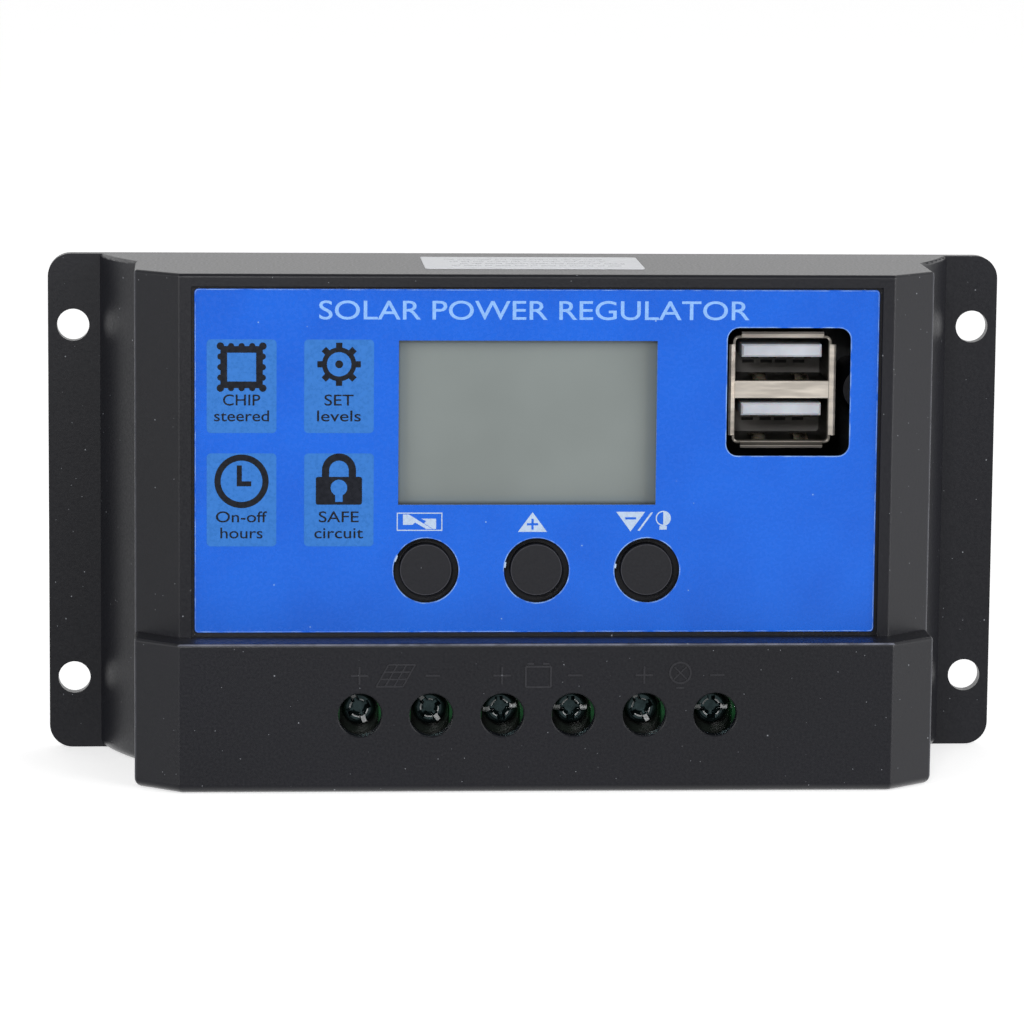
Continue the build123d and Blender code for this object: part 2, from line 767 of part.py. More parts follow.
for number, (x, turn) in enumerate(zip(terminal_xs, screw_rest_turns), start=1):
    with BuildPart() as terminal_screw:
        with BuildSketch(Plane.XZ.offset(head_back_depth)):
            with Locations((x, terminal_z)):
                Circle(head_radius)
        extrude(amount=head_front_depth - head_back_depth)
        fillet(terminal_screw.faces().sort_by(Axis.Y)[0].edges(), radius=head_edge_radius)
        with BuildSketch(Plane.XZ.offset(thread_tip_depth)):
            with Locations((x, terminal_z)):
                Circle(thread_radius)
        extrude(amount=head_back_depth - thread_tip_depth)
        # Straight slot right across the head, and a deeper cross at its middle
        with BuildSketch(Plane.XZ.offset(head_front_depth - slot_depth)):
            with Locations(Location((x, terminal_z), turn)):
                Rectangle(2 * head_radius + slot_width, slot_width)
        extrude(amount=slot_depth, mode=Mode.SUBTRACT)
        with BuildSketch(Plane.XZ.offset(head_front_depth)):
            with Locations(Location((x, terminal_z), turn)):
                Circle(recess_dish_radius)
                Rectangle(cross_width, cross_length)
                Rectangle(cross_length, cross_width)
        extrude(amount=-cross_depth, taper=recess_taper, mode=Mode.SUBTRACT)
    terminal_screw.part.label = f"terminal_screw_{number}"
    export_step(terminal_screw.part, f"parts/terminal_screw_{number}.step")

    with BuildPart() as terminal_clamp:
        # Rectangular cage that the screw draws up against the bar
        with BuildSketch(Plane.XY.offset(terminal_z - clamp_length / 2)):
            with Locations((x, -(clamp_back_depth + clamp_front_depth) / 2)):
                Rectangle(2 * clamp_half_width, clamp_front_depth - clamp_back_depth)
            inner_back = clamp_back_depth + clamp_floor
            inner_front = clamp_front_depth - clamp_bridge
            with Locations((x, -(inner_back + inner_front) / 2)):
                Rectangle(2 * (clamp_half_width - clamp_side), inner_front - inner_back, mode=Mode.SUBTRACT)
        extrude(amount=clamp_length)
        with BuildSketch(Plane.XZ.offset(inner_front)):
            with Locations((x, terminal_z)):
                Circle(thread_hole_radius)
        extrude(amount=clamp_bridge, mode=Mode.SUBTRACT)
    terminal_clamp.part.label = f"terminal_clamp_{number}"
    export_step(terminal_clamp.part, f"parts/terminal_clamp_{number}.step")

# ---------------------------------------------------------------- power stage behind the board
with BuildPart() as thermal_pad:
    with BuildSketch(Plane.XZ.offset(plate_front_depth)):
        with Locations((0, pad_z)):
            Rectangle(pad_width, pad_height)
    extrude(amount=pad_thickness)
thermal_pad.part.label = "thermal_pad"
export_step(thermal_pad.part, "parts/thermal_pad.step")

tab_z = transistor_body_z + (transistor_body_height + tab_height) / 2
with BuildPart() as transistor_tabs:
    with BuildSketch(Plane.XZ.offset(pad_front_depth)):
        with Locations(*[(x, tab_z) for x in transistor_xs]):
            Rectangle(transistor_width, tab_height)
            Circle(tab_hole_radius, mode=Mode.SUBTRACT)
    extrude(amount=tab_thickness)
transistor_tabs.part.label = "transistor_tabs"
export_step(transistor_tabs.part, "parts/transistor_tabs.step")

with BuildPart() as transistor_bodies:
    with BuildSketch(Plane.XZ.offset(pad_front_depth)):
        with Locations(*[(x, transistor_body_z) for x in transistor_xs]):
            Rectangle(transistor_width, transistor_body_height)
    extrude(amount=transistor_body_thickness)
transistor_bodies.part.label = "transistor_bodies"
export_step(transistor_bodies.part, "parts/transistor_bodies.step")

with BuildPart() as transistor_legs:
    # Legs leave the body flat and turn up through the board
    body_bottom = transistor_body_z - transistor_body_height / 2
    for x in transistor_xs:
        for n in (-1, 0, 1):
            with BuildSketch(Plane.YZ.offset(x + n * leg_pitch - leg_width / 2)):
                Polygon(
                    (-leg_depth, body_bottom),
                    (-leg_depth, leg_z - leg_thickness / 2),
                    (-board_front_depth, leg_z - leg_thickness / 2),
                    (-board_front_depth, leg_z + leg_thickness / 2),
                    (-leg_depth - leg_thickness, leg_z + leg_thickness / 2),
                    (-leg_depth - leg_thickness, body_bottom),
                    align=None,
                )
            extrude(amount=leg_width)
transistor_legs.part.label = "transistor_legs"
export_step(transistor_legs.part, "parts/transistor_legs.step")

# ---------------------------------------------------------------- electronics on the board
with BuildPart() as capacitors:
    for z in capacitor_places_z:
        with BuildSketch(Plane.XZ.offset(board_front_depth)):
            with Locations((capacitor_x, z)):
                Circle(capacitor_radius)
        extrude(amount=capacitor_height)
        # Crimped groove near the foot of the can
        with BuildSketch(Plane.XZ.offset(board_front_depth + capacitor_crimp_height)):
            with Locations((capacitor_x, z)):
                Circle(capacitor_radius)
                Circle(capacitor_crimp_radius, mode=Mode.SUBTRACT)
        extrude(amount=capacitor_crimp_width, mode=Mode.SUBTRACT)
    fillet(capacitors.faces().filter_by(Axis.Y).group_by(Axis.Y)[0].edges(), radius=edge_radius)
capacitors.part.label = "capacitors"
export_step(capacitors.part, "parts/capacitors.step")

with BuildPart() as inductor_core:
    with BuildSketch(Plane.XZ.offset(board_front_depth)):
        with Locations((inductor_x, inductor_z)):
            Circle(inductor_core_radius)
    extrude(amount=inductor_height)
    with BuildSketch(Plane.XZ.offset(board_front_depth + inductor_flange)):
        with Locations((inductor_x, inductor_z)):
            Circle(inductor_core_radius)
            Circle(inductor_waist_radius, mode=Mode.SUBTRACT)
    extrude(amount=inductor_height - 2 * inductor_flange, mode=Mode.SUBTRACT)
inductor_core.part.label = "inductor_core"
export_step(inductor_core.part, "parts/inductor_core.step")

with BuildPart() as inductor_winding:
    with BuildSketch(Plane.XZ.offset(board_front_depth + inductor_flange)):
        with Locations((inductor_x, inductor_z)):
            Circle(winding_radius)
            Circle(inductor_waist_radius, mode=Mode.SUBTRACT)
    extrude(amount=inductor_height - 2 * inductor_flange)
inductor_winding.part.label = "inductor_winding"
export_step(inductor_winding.part, "parts/inductor_winding.step")

with BuildPart() as microcontroller:
    with BuildSketch(Plane.XZ.offset(board_front_depth)):
        with Locations((controller_x, controller_z)):
            Rectangle(controller_size, controller_size)
    extrude(amount=controller_thickness)
    chamfer(microcontroller.edges().filter_by(Axis.Y), length=edge_radius)
microcontroller.part.label = "microcontroller"
export_step(microcontroller.part, "parts/microcontroller.step")

with BuildPart() as driver_chips:
    with BuildSketch(Plane.XZ.offset(board_front_depth)):
        with Locations(*chip_places):
            Rectangle(chip_width, chip_height)
    extrude(amount=chip_thickness)
driver_chips.part.label = "driver_chips"
export_step(driver_chips.part, "parts/driver_chips.step")

with BuildPart() as diodes:
    with BuildSketch(Plane.XZ.offset(board_front_depth)):
        with Locations(*diode_places):
            Rectangle(diode_width, diode_height)
    extrude(amount=diode_thickness)
diodes.part.label = "diodes"
export_step(diodes.part, "parts/diodes.step")

with BuildPart() as shunt_strip:
    # Bridge of resistance alloy, bent down to the board at both ends
    with BuildSketch(Plane.XY.offset(shunt_z - shunt_width / 2)):
        with Locations((shunt_x, -board_front_depth - shunt_rise / 2)):
            Rectangle(shunt_length, shunt_rise)
        with Locations((shunt_x, -board_front_depth - (shunt_rise - shunt_thickness) / 2)):
            Rectangle(
                shunt_length - 2 * shunt_thickness,
                shunt_rise - shunt_thickness,
                mode=Mode.SUBTRACT,
            )
    extrude(amount=shunt_width)
shunt_strip.part.label = "shunt_strip"
export_step(shunt_strip.part, "parts/shunt_strip.step")

with BuildPart() as chip_resistors:
    with BuildSketch(Plane.XZ.offset(board_front_depth)):
        with Locations((chip_part_x, chip_part_z)):
            with GridLocations(chip_part_pitch_x, chip_part_pitch_z, chip_part_columns, chip_part_rows):
                Rectangle(chip_part_width, chip_part_height)
    extrude(amount=chip_part_thickness)
chip_resistors.part.label = "chip_resistors"
export_step(chip_resistors.part, "parts/chip_resistors.step")
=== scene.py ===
import math
import random

import bmesh
import bpy
from mathutils import Matrix, Vector


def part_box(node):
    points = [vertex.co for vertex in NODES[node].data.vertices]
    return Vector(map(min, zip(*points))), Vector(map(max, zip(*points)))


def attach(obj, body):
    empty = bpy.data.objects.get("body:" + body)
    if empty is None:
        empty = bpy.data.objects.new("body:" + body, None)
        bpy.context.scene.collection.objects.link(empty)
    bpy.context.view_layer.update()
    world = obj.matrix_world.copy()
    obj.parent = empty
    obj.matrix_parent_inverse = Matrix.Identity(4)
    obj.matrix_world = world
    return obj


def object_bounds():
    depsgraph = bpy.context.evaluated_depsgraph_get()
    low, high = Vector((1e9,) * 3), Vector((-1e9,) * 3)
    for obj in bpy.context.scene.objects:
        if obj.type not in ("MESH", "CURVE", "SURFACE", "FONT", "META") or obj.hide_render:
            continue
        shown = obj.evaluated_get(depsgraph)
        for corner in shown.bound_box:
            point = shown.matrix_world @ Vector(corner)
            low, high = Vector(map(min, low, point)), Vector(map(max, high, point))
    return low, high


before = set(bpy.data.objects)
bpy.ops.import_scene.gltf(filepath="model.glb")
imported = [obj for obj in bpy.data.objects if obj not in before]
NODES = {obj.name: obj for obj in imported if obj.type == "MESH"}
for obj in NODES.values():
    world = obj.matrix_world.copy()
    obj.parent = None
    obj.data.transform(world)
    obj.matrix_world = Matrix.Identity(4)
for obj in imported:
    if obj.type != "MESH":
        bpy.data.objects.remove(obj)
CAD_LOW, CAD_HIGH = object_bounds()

bl_info = {
    "name": "Solar charge controller",
    "version": (1, 0, 0),
    "blender": (4, 5, 0),
    "location": "View3D > Sidebar > Controller",
    "description": "Finishes, printed marks and stage for a wall-mounted solar charge controller",
    "category": "Object",
}

MM = 0.001
SEED = 7
CASE_BODY = "case"
# Faces that the printed and moulded marks lie on, from the frame (the front faces -Y)
LABEL_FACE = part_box("front_label")[0].y
COVER_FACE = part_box("front_shell")[0].y
STICKER_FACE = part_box("rating_label")[1].z
# The terminal cover ends in a step just under the label
STEP_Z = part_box("front_label")[0].z - 0.6 * MM
# Heights between which the label's ink goes from a paler foot to a deeper head, a painted sheen of reflected
# light
LABEL_FOOT_Z = -14 * MM
LABEL_HEAD_Z = 33 * MM
# Side walls, and the depths at which they meet the chamfers of the panel and of the cover
SIDE_X = 54.45 * MM
PANEL_CHAMFER = 24.3 * MM
COVER_CHAMFER = 30.1 * MM
USB_LOW, USB_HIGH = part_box("usb_shell")
TONGUE_LOW, TONGUE_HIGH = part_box("usb_tongues")
GLASS_LOW, GLASS_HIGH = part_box("lcd_glass")
# The floor lies a hair below the case, so that no two faces share a plane
GROUND = CAD_LOW.z - 0.05 * MM
TERMINAL_XS = [sum(c.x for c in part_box(f"terminal_screw_{n}")) / 2 for n in range(1, 7)]
SCREW_Z = sum(c.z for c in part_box("terminal_screw_1")) / 2
# Where each screw's slot was left, counter-clockwise from level as seen from the front
SLOT_TURNS = (114, 128, 8, 0, 117, 1)
BUTTON_XS = [sum(c.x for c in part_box(f"button_cap_{n}")) / 2 for n in range(1, 4)]
BUTTON_Z = sum(c.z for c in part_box("button_cap_1")) / 2
BUTTON_HOLE_RADIUS = 4.45 * MM
# The socket's window in the label
WINDOW_X = 34.1 * MM
WINDOW_Z = 19.05 * MM
WINDOW_WIDTH = 16.8 * MM
WINDOW_HEIGHT = 17.5 * MM
WINDOW_CORNER = 1.6 * MM
INK_THICKNESS = 0.015 * MM
SMOOTH_ANGLE = math.radians(35.0)
CAP_HEIGHT_OF_FONT = 0.7
# A second shape that crosses a first lies this far behind it, so that no two faces share a plane
TUCK = -0.002 * MM


# ------------------------------------------------------------------ settings
def colour_property(name, description, hex_colour):
    """An sRGB colour that the user can change."""
    return bpy.props.FloatVectorProperty(
        name=name, description=description, default=linear(hex_colour)[:3],
        subtype="COLOR", size=3, min=0.0, max=1.0,
    )


def length_property(name, description, millimetres):
    """A length in metres, given here in millimetres."""
    return bpy.props.FloatProperty(
        name=name, description=description, default=millimetres * MM, unit="LENGTH", precision=5,
    )


def linear(hex_colour):
    """Scene-linear RGBA from an sRGB hex string."""
    parts = [int(hex_colour[i:i + 2], 16) / 255 for i in (1, 3, 5)]
    return tuple(p / 12.92 if p <= 0.04045 else ((p + 0.055) / 1.055) ** 2.4 for p in parts) + (1.0,)


class CaseSettings(bpy.types.PropertyGroup):
    """Colours and mark sizes of the moulded case."""

    plastic: colour_property("Plastic", "Body colour of the moulded case", "#0c0d16")
    dust: colour_property("Dust", "Colour of dust specks", "#8d9096")
    mark_height: length_property("Mark height", "How far the moulded symbols stand off the cover", 0.1)
    mark_line: length_property("Mark line", "Line width of the moulded symbols", 0.26)
    mark_z: length_property("Mark row", "Height of the moulded symbol row", -18.85)


class LabelSettings(bpy.types.PropertyGroup):
    """Inks and lettering of the front label."""

    # The foot's blue is paler than the head's deep blue: a painted sheen of light reflected in the glossy
    # film
    blue: colour_property("Blue", "Main ink at the foot of the label", "#1867e0")
    deep: colour_property("Deep blue", "Main ink at the head of the label", "#0c63de")
    tile: colour_property("Tile", "Ink of the four icon tiles", "#3479cd")
    dark: colour_property("Dark", "Ink of the icons", "#10141f")
    pale: colour_property("Pale", "Ink of the title", "#8fbcf8")
    symbol: colour_property("Symbol", "Ink of the button symbols", "#bccfe8")
    edge: colour_property("Edge", "Cut edge of the film", "#86aef0")
    title: bpy.props.StringProperty(
        name="Title", description="Generic title", default="SOLAR POWER REGULATOR",
    )
    title_width: length_property("Title width", "Width of the title", 58.2)
    title_x: length_property("Title place", "Middle of the title across the label", -0.46)
    title_z: length_property("Title height", "Middle of the title up the label", 29.96)
    title_caps: length_property("Title capitals", "Height of the title's capitals", 2.57)


class DisplaySettings(bpy.types.PropertyGroup):
    """Colours of the display."""

    lit: colour_property("Field", "Middle of the display", "#868d8b")
    # The field edge colour is painted shade at the display's borders, over the glass's own dark border
    shade: colour_property("Field edge", "Edge of the display", "#76838a")


class MetalSettings(bpy.types.PropertyGroup):
    """Colours of the metal parts."""

    socket: colour_property("Socket", "Nickel plating of the USB socket", "#e9e0d4")
    screw: colour_property("Screw", "Dark passivated zinc of the terminal screws", "#4d5f61")
    tin: colour_property("Tin", "Tinned copper", "#c9c6bd")
    plate: colour_property("Plate", "Rolled aluminium", "#c4c6c8")


class StageSettings(bpy.types.PropertyGroup):
    """Floor, light and camera."""

    floor: colour_property("Floor", "Colour of the floor", "#f4f4f4")
    floor_size: length_property("Floor size", "Edge length of the floor", 16000)
    lens: bpy.props.FloatProperty(name="Lens", description="Focal length", default=172.44, unit="CAMERA")
    glow: bpy.props.FloatProperty(
        name="Glow", description="Light given off by the backlit floor", default=0.55,
    )
    left_watts: bpy.props.FloatProperty(
        name="Left", description="Power of the left softbox", default=6.4,
    )
    right_watts: bpy.props.FloatProperty(
        name="Right", description="Power of the right softbox", default=8.7,
    )
    fill_watts: bpy.props.FloatProperty(
        name="Fill", description="Power of the lamp over the camera", default=1.2,
    )


# ------------------------------------------------------------------ node helpers
def add_node(tree, kind, inputs=(), **settings):
    """Adds one node; settings are its attributes, inputs its values or the sockets linked to it."""
    node = tree.nodes.new(kind)
    for name, value in settings.items():
        setattr(node, name, value)
    for key, value in dict(inputs).items():
        if isinstance(value, bpy.types.NodeSocket):
            tree.links.new(value, node.inputs[key])
        else:
            node.inputs[key].default_value = value
    return node


def start_material(name):
    """An empty material, its node tree and the object coordinates, in metres."""
    material = bpy.data.materials.new(name)
    material.use_nodes = True
    material.node_tree.nodes.clear()
    place = add_node(material.node_tree, "ShaderNodeTexCoord").outputs["Object"]
    return material, material.node_tree, place


def close_material(tree, **inputs):
    """Ends a tree with its surface shader; inputs are the shader's sockets by name."""
    sockets = {name.replace("_", " "): value for name, value in inputs.items()}
    shader = add_node(tree, "ShaderNodeBsdfPrincipled", sockets)
    add_node(tree, "ShaderNodeOutputMaterial", {"Surface": shader.outputs["BSDF"]})


def per(millimetres):
    """Texture scale whose pattern repeats in this many millimetres of object space."""
    return 1.0 / (millimetres * MM)


def rgba(colour):
    """A colour property as RGBA."""
    return (*colour, 1.0)


def shade(colour, factor):
    """A colour made darker or lighter by a factor."""
    return (*[min(1.0, c * factor) for c in colour[:3]], 1.0)


def between(tree, factor, low, high, curve_low=0.0, curve_high=1.0):
    """Two colours mixed by a factor that runs from curve_low to curve_high."""
    ramp = add_node(tree, "ShaderNodeValToRGB", {"Fac": factor})
    ramp.color_ramp.elements[0].position = curve_low
    ramp.color_ramp.elements[1].position = curve_high
    ramp.color_ramp.elements[0].color = low
    ramp.color_ramp.elements[1].color = high
    return ramp.outputs["Color"]


def remap(tree, value, low, high, to_low, to_high):
    """A value mapped from one range to another, held at the ends."""
    node = add_node(tree, "ShaderNodeMapRange", {
        "Value": value, "From Min": low, "From Max": high, "To Min": to_low, "To Max": to_high,
    })
    return node.outputs["Result"]


def specks(tree, place, cell_mm, size, share):
    """A mask of small round specks: one cell in so many holds one, from 0 to 1."""
    cells = add_node(tree, "ShaderNodeTexVoronoi", {"Vector": place, "Scale": per(cell_mm)})
    lot = add_node(tree, "ShaderNodeSeparateColor", {"Color": cells.outputs["Color"]}).outputs["Red"]
    chosen = add_node(tree, "ShaderNodeMath", {0: lot, 1: share}, operation="LESS_THAN")
    near = remap(tree, cells.outputs["Distance"], size * 0.5, size, 1.0, 0.0)
    return add_node(tree, "ShaderNodeMath", {0: near, 1: chosen.outputs[0]}, operation="MULTIPLY").outputs[0]


def distance(tree, value, at):
    """How far a value is from another, on either side."""
    away = add_node(tree, "ShaderNodeMath", {0: value, 1: at}, operation="SUBTRACT")
    return add_node(tree, "ShaderNodeMath", {0: away.outputs[0]}, operation="ABSOLUTE").outputs[0]


def facing_front(tree, low, high, to_low, to_high):
    """A value mapped from how squarely a surface faces the front or the back."""
    facing = add_node(tree, "ShaderNodeSeparateXYZ", {
        "Vector": add_node(tree, "ShaderNodeNewGeometry").outputs["Normal"],
    })
    square = add_node(tree, "ShaderNodeMath", {0: facing.outputs["Y"]}, operation="ABSOLUTE")
    return remap(tree, square.outputs[0], low, high, to_low, to_high)


def along_edge(tree, spot, lines, width_mm):
    """A mask of the strip within a width of any of some edges; each edge is two (axis, place) pairs."""
    mask = 0.0
    for line in lines:
        gaps = []
        for axis, at in line:
            gaps.append(distance(tree, spot.outputs[axis], at))
        gap = add_node(tree, "ShaderNodeMath", {0: gaps[0], 1: gaps[1]}, operation="MAXIMUM")
        near = remap(tree, gap.outputs[0], width_mm * 0.6 * MM, width_mm * MM, 1.0, 0.0)
        mask = add_node(tree, "ShaderNodeMath", {0: near, 1: mask}, operation="MAXIMUM").outputs[0]
    return mask


# ------------------------------------------------------------------ materials
def moulded_abs(
    name, colour, dust, roughness=0.40, grain_mm=0.35, dusty=0.6, painted_highlight_edges=(), faint_highlight_edges=(),
):
    """Black ABS from a spark-eroded mould: semi-matte, a fine pebble grain, flow shading, stray dust.

    dusty is the share of the speck cells that hold one; the edges are lists of lines for along_edge, along
    which a pale highlight is painted.
    """
    material, tree, place = start_material(name)
    # The real grain is near 0.1 mm; it is drawn coarser, so that it shows
    grain = add_node(tree, "ShaderNodeTexNoise", {"Vector": place, "Scale": per(grain_mm), "Detail": 3.0})
    pores = add_node(tree, "ShaderNodeTexVoronoi", {"Vector": place, "Scale": per(grain_mm * 1.6)})
    flow = add_node(tree, "ShaderNodeTexNoise", {"Vector": place, "Scale": per(38.0), "Detail": 2.0})
    body = between(tree, flow.outputs["Fac"], shade(colour, 0.82), shade(colour, 1.22), 0.3, 0.7)
    # Painted highlight: the given edges are painted pale, and noise breaks the highlight up along its length
    spot = add_node(tree, "ShaderNodeSeparateXYZ", {"Vector": place})
    edge_noise = add_node(tree, "ShaderNodeTexNoise", {"Vector": place, "Scale": per(2.2), "Detail": 3.0})
    broken = remap(tree, edge_noise.outputs["Fac"], 0.32, 0.62, 0.45, 1.0)
    strip = along_edge(tree, spot, painted_highlight_edges, 0.33)
    faint_highlight = add_node(tree, "ShaderNodeMath", {
        0: along_edge(tree, spot, faint_highlight_edges, 0.30), 1: 0.22,
    }, operation="MULTIPLY").outputs[0]
    strip = add_node(tree, "ShaderNodeMath", {0: strip, 1: faint_highlight}, operation="MAXIMUM").outputs[0]
    painted_highlight = add_node(tree, "ShaderNodeMath", {0: strip, 1: broken}, operation="MULTIPLY")
    lightened = add_node(tree, "ShaderNodeMix", {
        "Factor": painted_highlight.outputs[0], "A": body, "B": linear("#7a7c88"),
    }, data_type="RGBA")
    large = specks(tree, place, 2.4, 0.055, dusty)
    small = specks(tree, place, 1.3, 0.06, dusty)
    speck = add_node(tree, "ShaderNodeMath", {0: large, 1: small}, operation="MAXIMUM").outputs[0]
    dusted = add_node(tree, "ShaderNodeMix", {
        "Factor": speck, "A": lightened.outputs["Result"], "B": rgba(dust),
    }, data_type="RGBA")
    rough = remap(tree, grain.outputs["Fac"], 0.3, 0.7, roughness - 0.05, roughness + 0.07)
    relief = add_node(tree, "ShaderNodeMath", {
        0: grain.outputs["Fac"], 1: pores.outputs["Distance"],
    }, operation="ADD")
    bump = add_node(tree, "ShaderNodeBump", {
        "Height": relief.outputs[0], "Distance": 0.012 * MM, "Strength": 0.5,
    })
    close_material(
        tree, Base_Color=dusted.outputs["Result"], Roughness=rough, IOR=1.53, Normal=bump.outputs["Normal"],
    )
    return material


def printed_film(name, foot, head, edge):
    """Reverse-printed polycarbonate film: ink under a satin skin, painted paler towards the foot as a painted
    sheen, a pale cut edge and dust.
    """
    material, tree, place = start_material(name)
    spot = add_node(tree, "ShaderNodeSeparateXYZ", {"Vector": place})
    # Painted sheen: the ink is painted paler at the foot than along the head, for light reflected in the
    # glossy film
    height = remap(tree, spot.outputs["Z"], LABEL_FOOT_Z, LABEL_HEAD_Z, 1.0, 0.0)
    ink = between(tree, height, rgba(head), rgba(foot))
    mottle = add_node(tree, "ShaderNodeTexNoise", {"Vector": place, "Scale": per(9.0), "Detail": 4.0})
    tone = between(
        tree, mottle.outputs["Fac"], (0.93, 0.93, 0.95, 1.0), (1.05, 1.05, 1.03, 1.0), 0.35, 0.65,
    )
    inked = add_node(tree, "ShaderNodeMix", {
        "Factor": 1.0, "A": ink, "B": tone,
    }, data_type="RGBA", blend_type="MULTIPLY")
    speck = specks(tree, place, 2.6, 0.045, 0.5)
    dusted = add_node(tree, "ShaderNodeMix", {
        "Factor": speck, "A": inked.outputs["Result"], "B": linear("#a9c6f2"),
    }, data_type="RGBA")
    side = facing_front(tree, 0.4, 0.8, 1.0, 0.0)
    final = add_node(tree, "ShaderNodeMix", {
        "Factor": side, "A": dusted.outputs["Result"], "B": rgba(edge),
    }, data_type="RGBA")
    skin = add_node(tree, "ShaderNodeTexNoise", {"Vector": place, "Scale": per(0.6), "Detail": 2.0})
    rough = remap(tree, skin.outputs["Fac"], 0.3, 0.7, 0.22, 0.32)
    bump = add_node(tree, "ShaderNodeBump", {
        "Height": skin.outputs["Fac"], "Distance": 0.004 * MM, "Strength": 0.35,
    })
    close_material(
        tree, Base_Color=final.outputs["Result"], Roughness=rough, IOR=1.58, Normal=bump.outputs["Normal"],
    )
    return material


def screen_ink(name, colour, spread=0.06):
    """Screen-printed ink: flat colour with the slight mottle of the mesh."""
    material, tree, place = start_material(name)
    mesh_marks = add_node(tree, "ShaderNodeTexNoise", {"Vector": place, "Scale": per(0.5), "Detail": 3.0})
    ink = between(
        tree, mesh_marks.outputs["Fac"], shade(colour, 1 - spread), shade(colour, 1 + spread), 0.35, 0.65,
    )
    rough = remap(tree, mesh_marks.outputs["Fac"], 0.3, 0.7, 0.24, 0.34)
    close_material(tree, Base_Color=ink, Roughness=rough, IOR=1.50)
    return material


def cut_burr(name, ink, pale):
    """Die-cut edge of the film: the clear layer shows pale where it has lifted, and blue where it hasn't."""
    material, tree, place = start_material(name)
    lift = add_node(tree, "ShaderNodeTexNoise", {"Vector": place, "Scale": per(1.6), "Detail": 4.0})
    tone = between(tree, lift.outputs["Fac"], rgba(ink), rgba(pale), 0.36, 0.60)
    rough = remap(tree, lift.outputs["Fac"], 0.3, 0.7, 0.25, 0.45)
    close_material(tree, Base_Color=tone, Roughness=rough, IOR=1.58)
    return material


def display_glass(name, lit, edge):
    """Reflective twisted-nematic display: grey-green field under a polariser film, painted darker at its
    borders, partly as painted shade from the window's walls.
    """
    material, tree, place = start_material(name)
    spot = add_node(tree, "ShaderNodeSeparateXYZ", {"Vector": place})
    middle = (GLASS_LOW + GLASS_HIGH) / 2
    across = distance(tree, spot.outputs["X"], middle.x)
    rise = distance(tree, spot.outputs["Z"], middle.z)
    # Painted shade: the field darkens towards its borders, over the glass's own dark border
    side_edge = remap(tree, across, 16.0 * MM, 17.6 * MM, 0.0, 1.0)
    rise_edge = remap(tree, rise, 10.0 * MM, 11.3 * MM, 0.0, 1.0)
    border = add_node(tree, "ShaderNodeMath", {0: side_edge, 1: rise_edge}, operation="MAXIMUM")
    cloud = add_node(tree, "ShaderNodeTexNoise", {"Vector": place, "Scale": per(16.0), "Detail": 2.0})
    field = between(tree, cloud.outputs["Fac"], shade(lit, 0.95), shade(lit, 1.05), 0.35, 0.65)
    soft = remap(tree, border.outputs[0], 0.0, 1.0, 0.0, 0.75)
    face = add_node(tree, "ShaderNodeMix", {"Factor": soft, "A": field, "B": rgba(edge)}, data_type="RGBA")
    # Painted shadow: a dark band along the foot of the window
    foot_shadow = remap(tree, spot.outputs["Z"], 3.45 * MM, 4.0 * MM, 0.8, 0.0)
    face = add_node(tree, "ShaderNodeMix", {
        "Factor": foot_shadow, "A": face.outputs["Result"], "B": linear("#343b40"),
    }, data_type="RGBA")
    film = add_node(tree, "ShaderNodeTexNoise", {"Vector": place, "Scale": per(0.4), "Detail": 2.0})
    rough = remap(tree, film.outputs["Fac"], 0.3, 0.7, 0.16, 0.24)
    close_material(tree, Base_Color=face.outputs["Result"], Roughness=rough, IOR=1.50)
    return material


def plated_metal(name, colour, roughness, line_mm=0.3, stretch=(1.0, 1.0, 14.0)):
    """Plated sheet or turned metal with fine tooling lines and a bloom of tarnish."""
    material, tree, place = start_material(name)
    stretched = add_node(tree, "ShaderNodeMapping", {"Vector": place, "Scale": stretch})
    lines = add_node(tree, "ShaderNodeTexNoise", {
        "Vector": stretched.outputs["Vector"], "Scale": per(line_mm * 12), "Detail": 5.0, "Roughness": 0.65,
    })
    bloom = add_node(tree, "ShaderNodeTexNoise", {"Vector": place, "Scale": per(2.4), "Detail": 3.0})
    tone = between(tree, bloom.outputs["Fac"], shade(colour, 0.82), shade(colour, 1.06), 0.35, 0.65)
    rough = remap(tree, lines.outputs["Fac"], 0.3, 0.7, roughness * 0.75, roughness * 1.3)
    bump = add_node(tree, "ShaderNodeBump", {
        "Height": lines.outputs["Fac"], "Distance": 0.006 * MM, "Strength": 0.5,
    })
    close_material(tree, Base_Color=tone, Metallic=1.0, Roughness=rough, Normal=bump.outputs["Normal"])
    return material


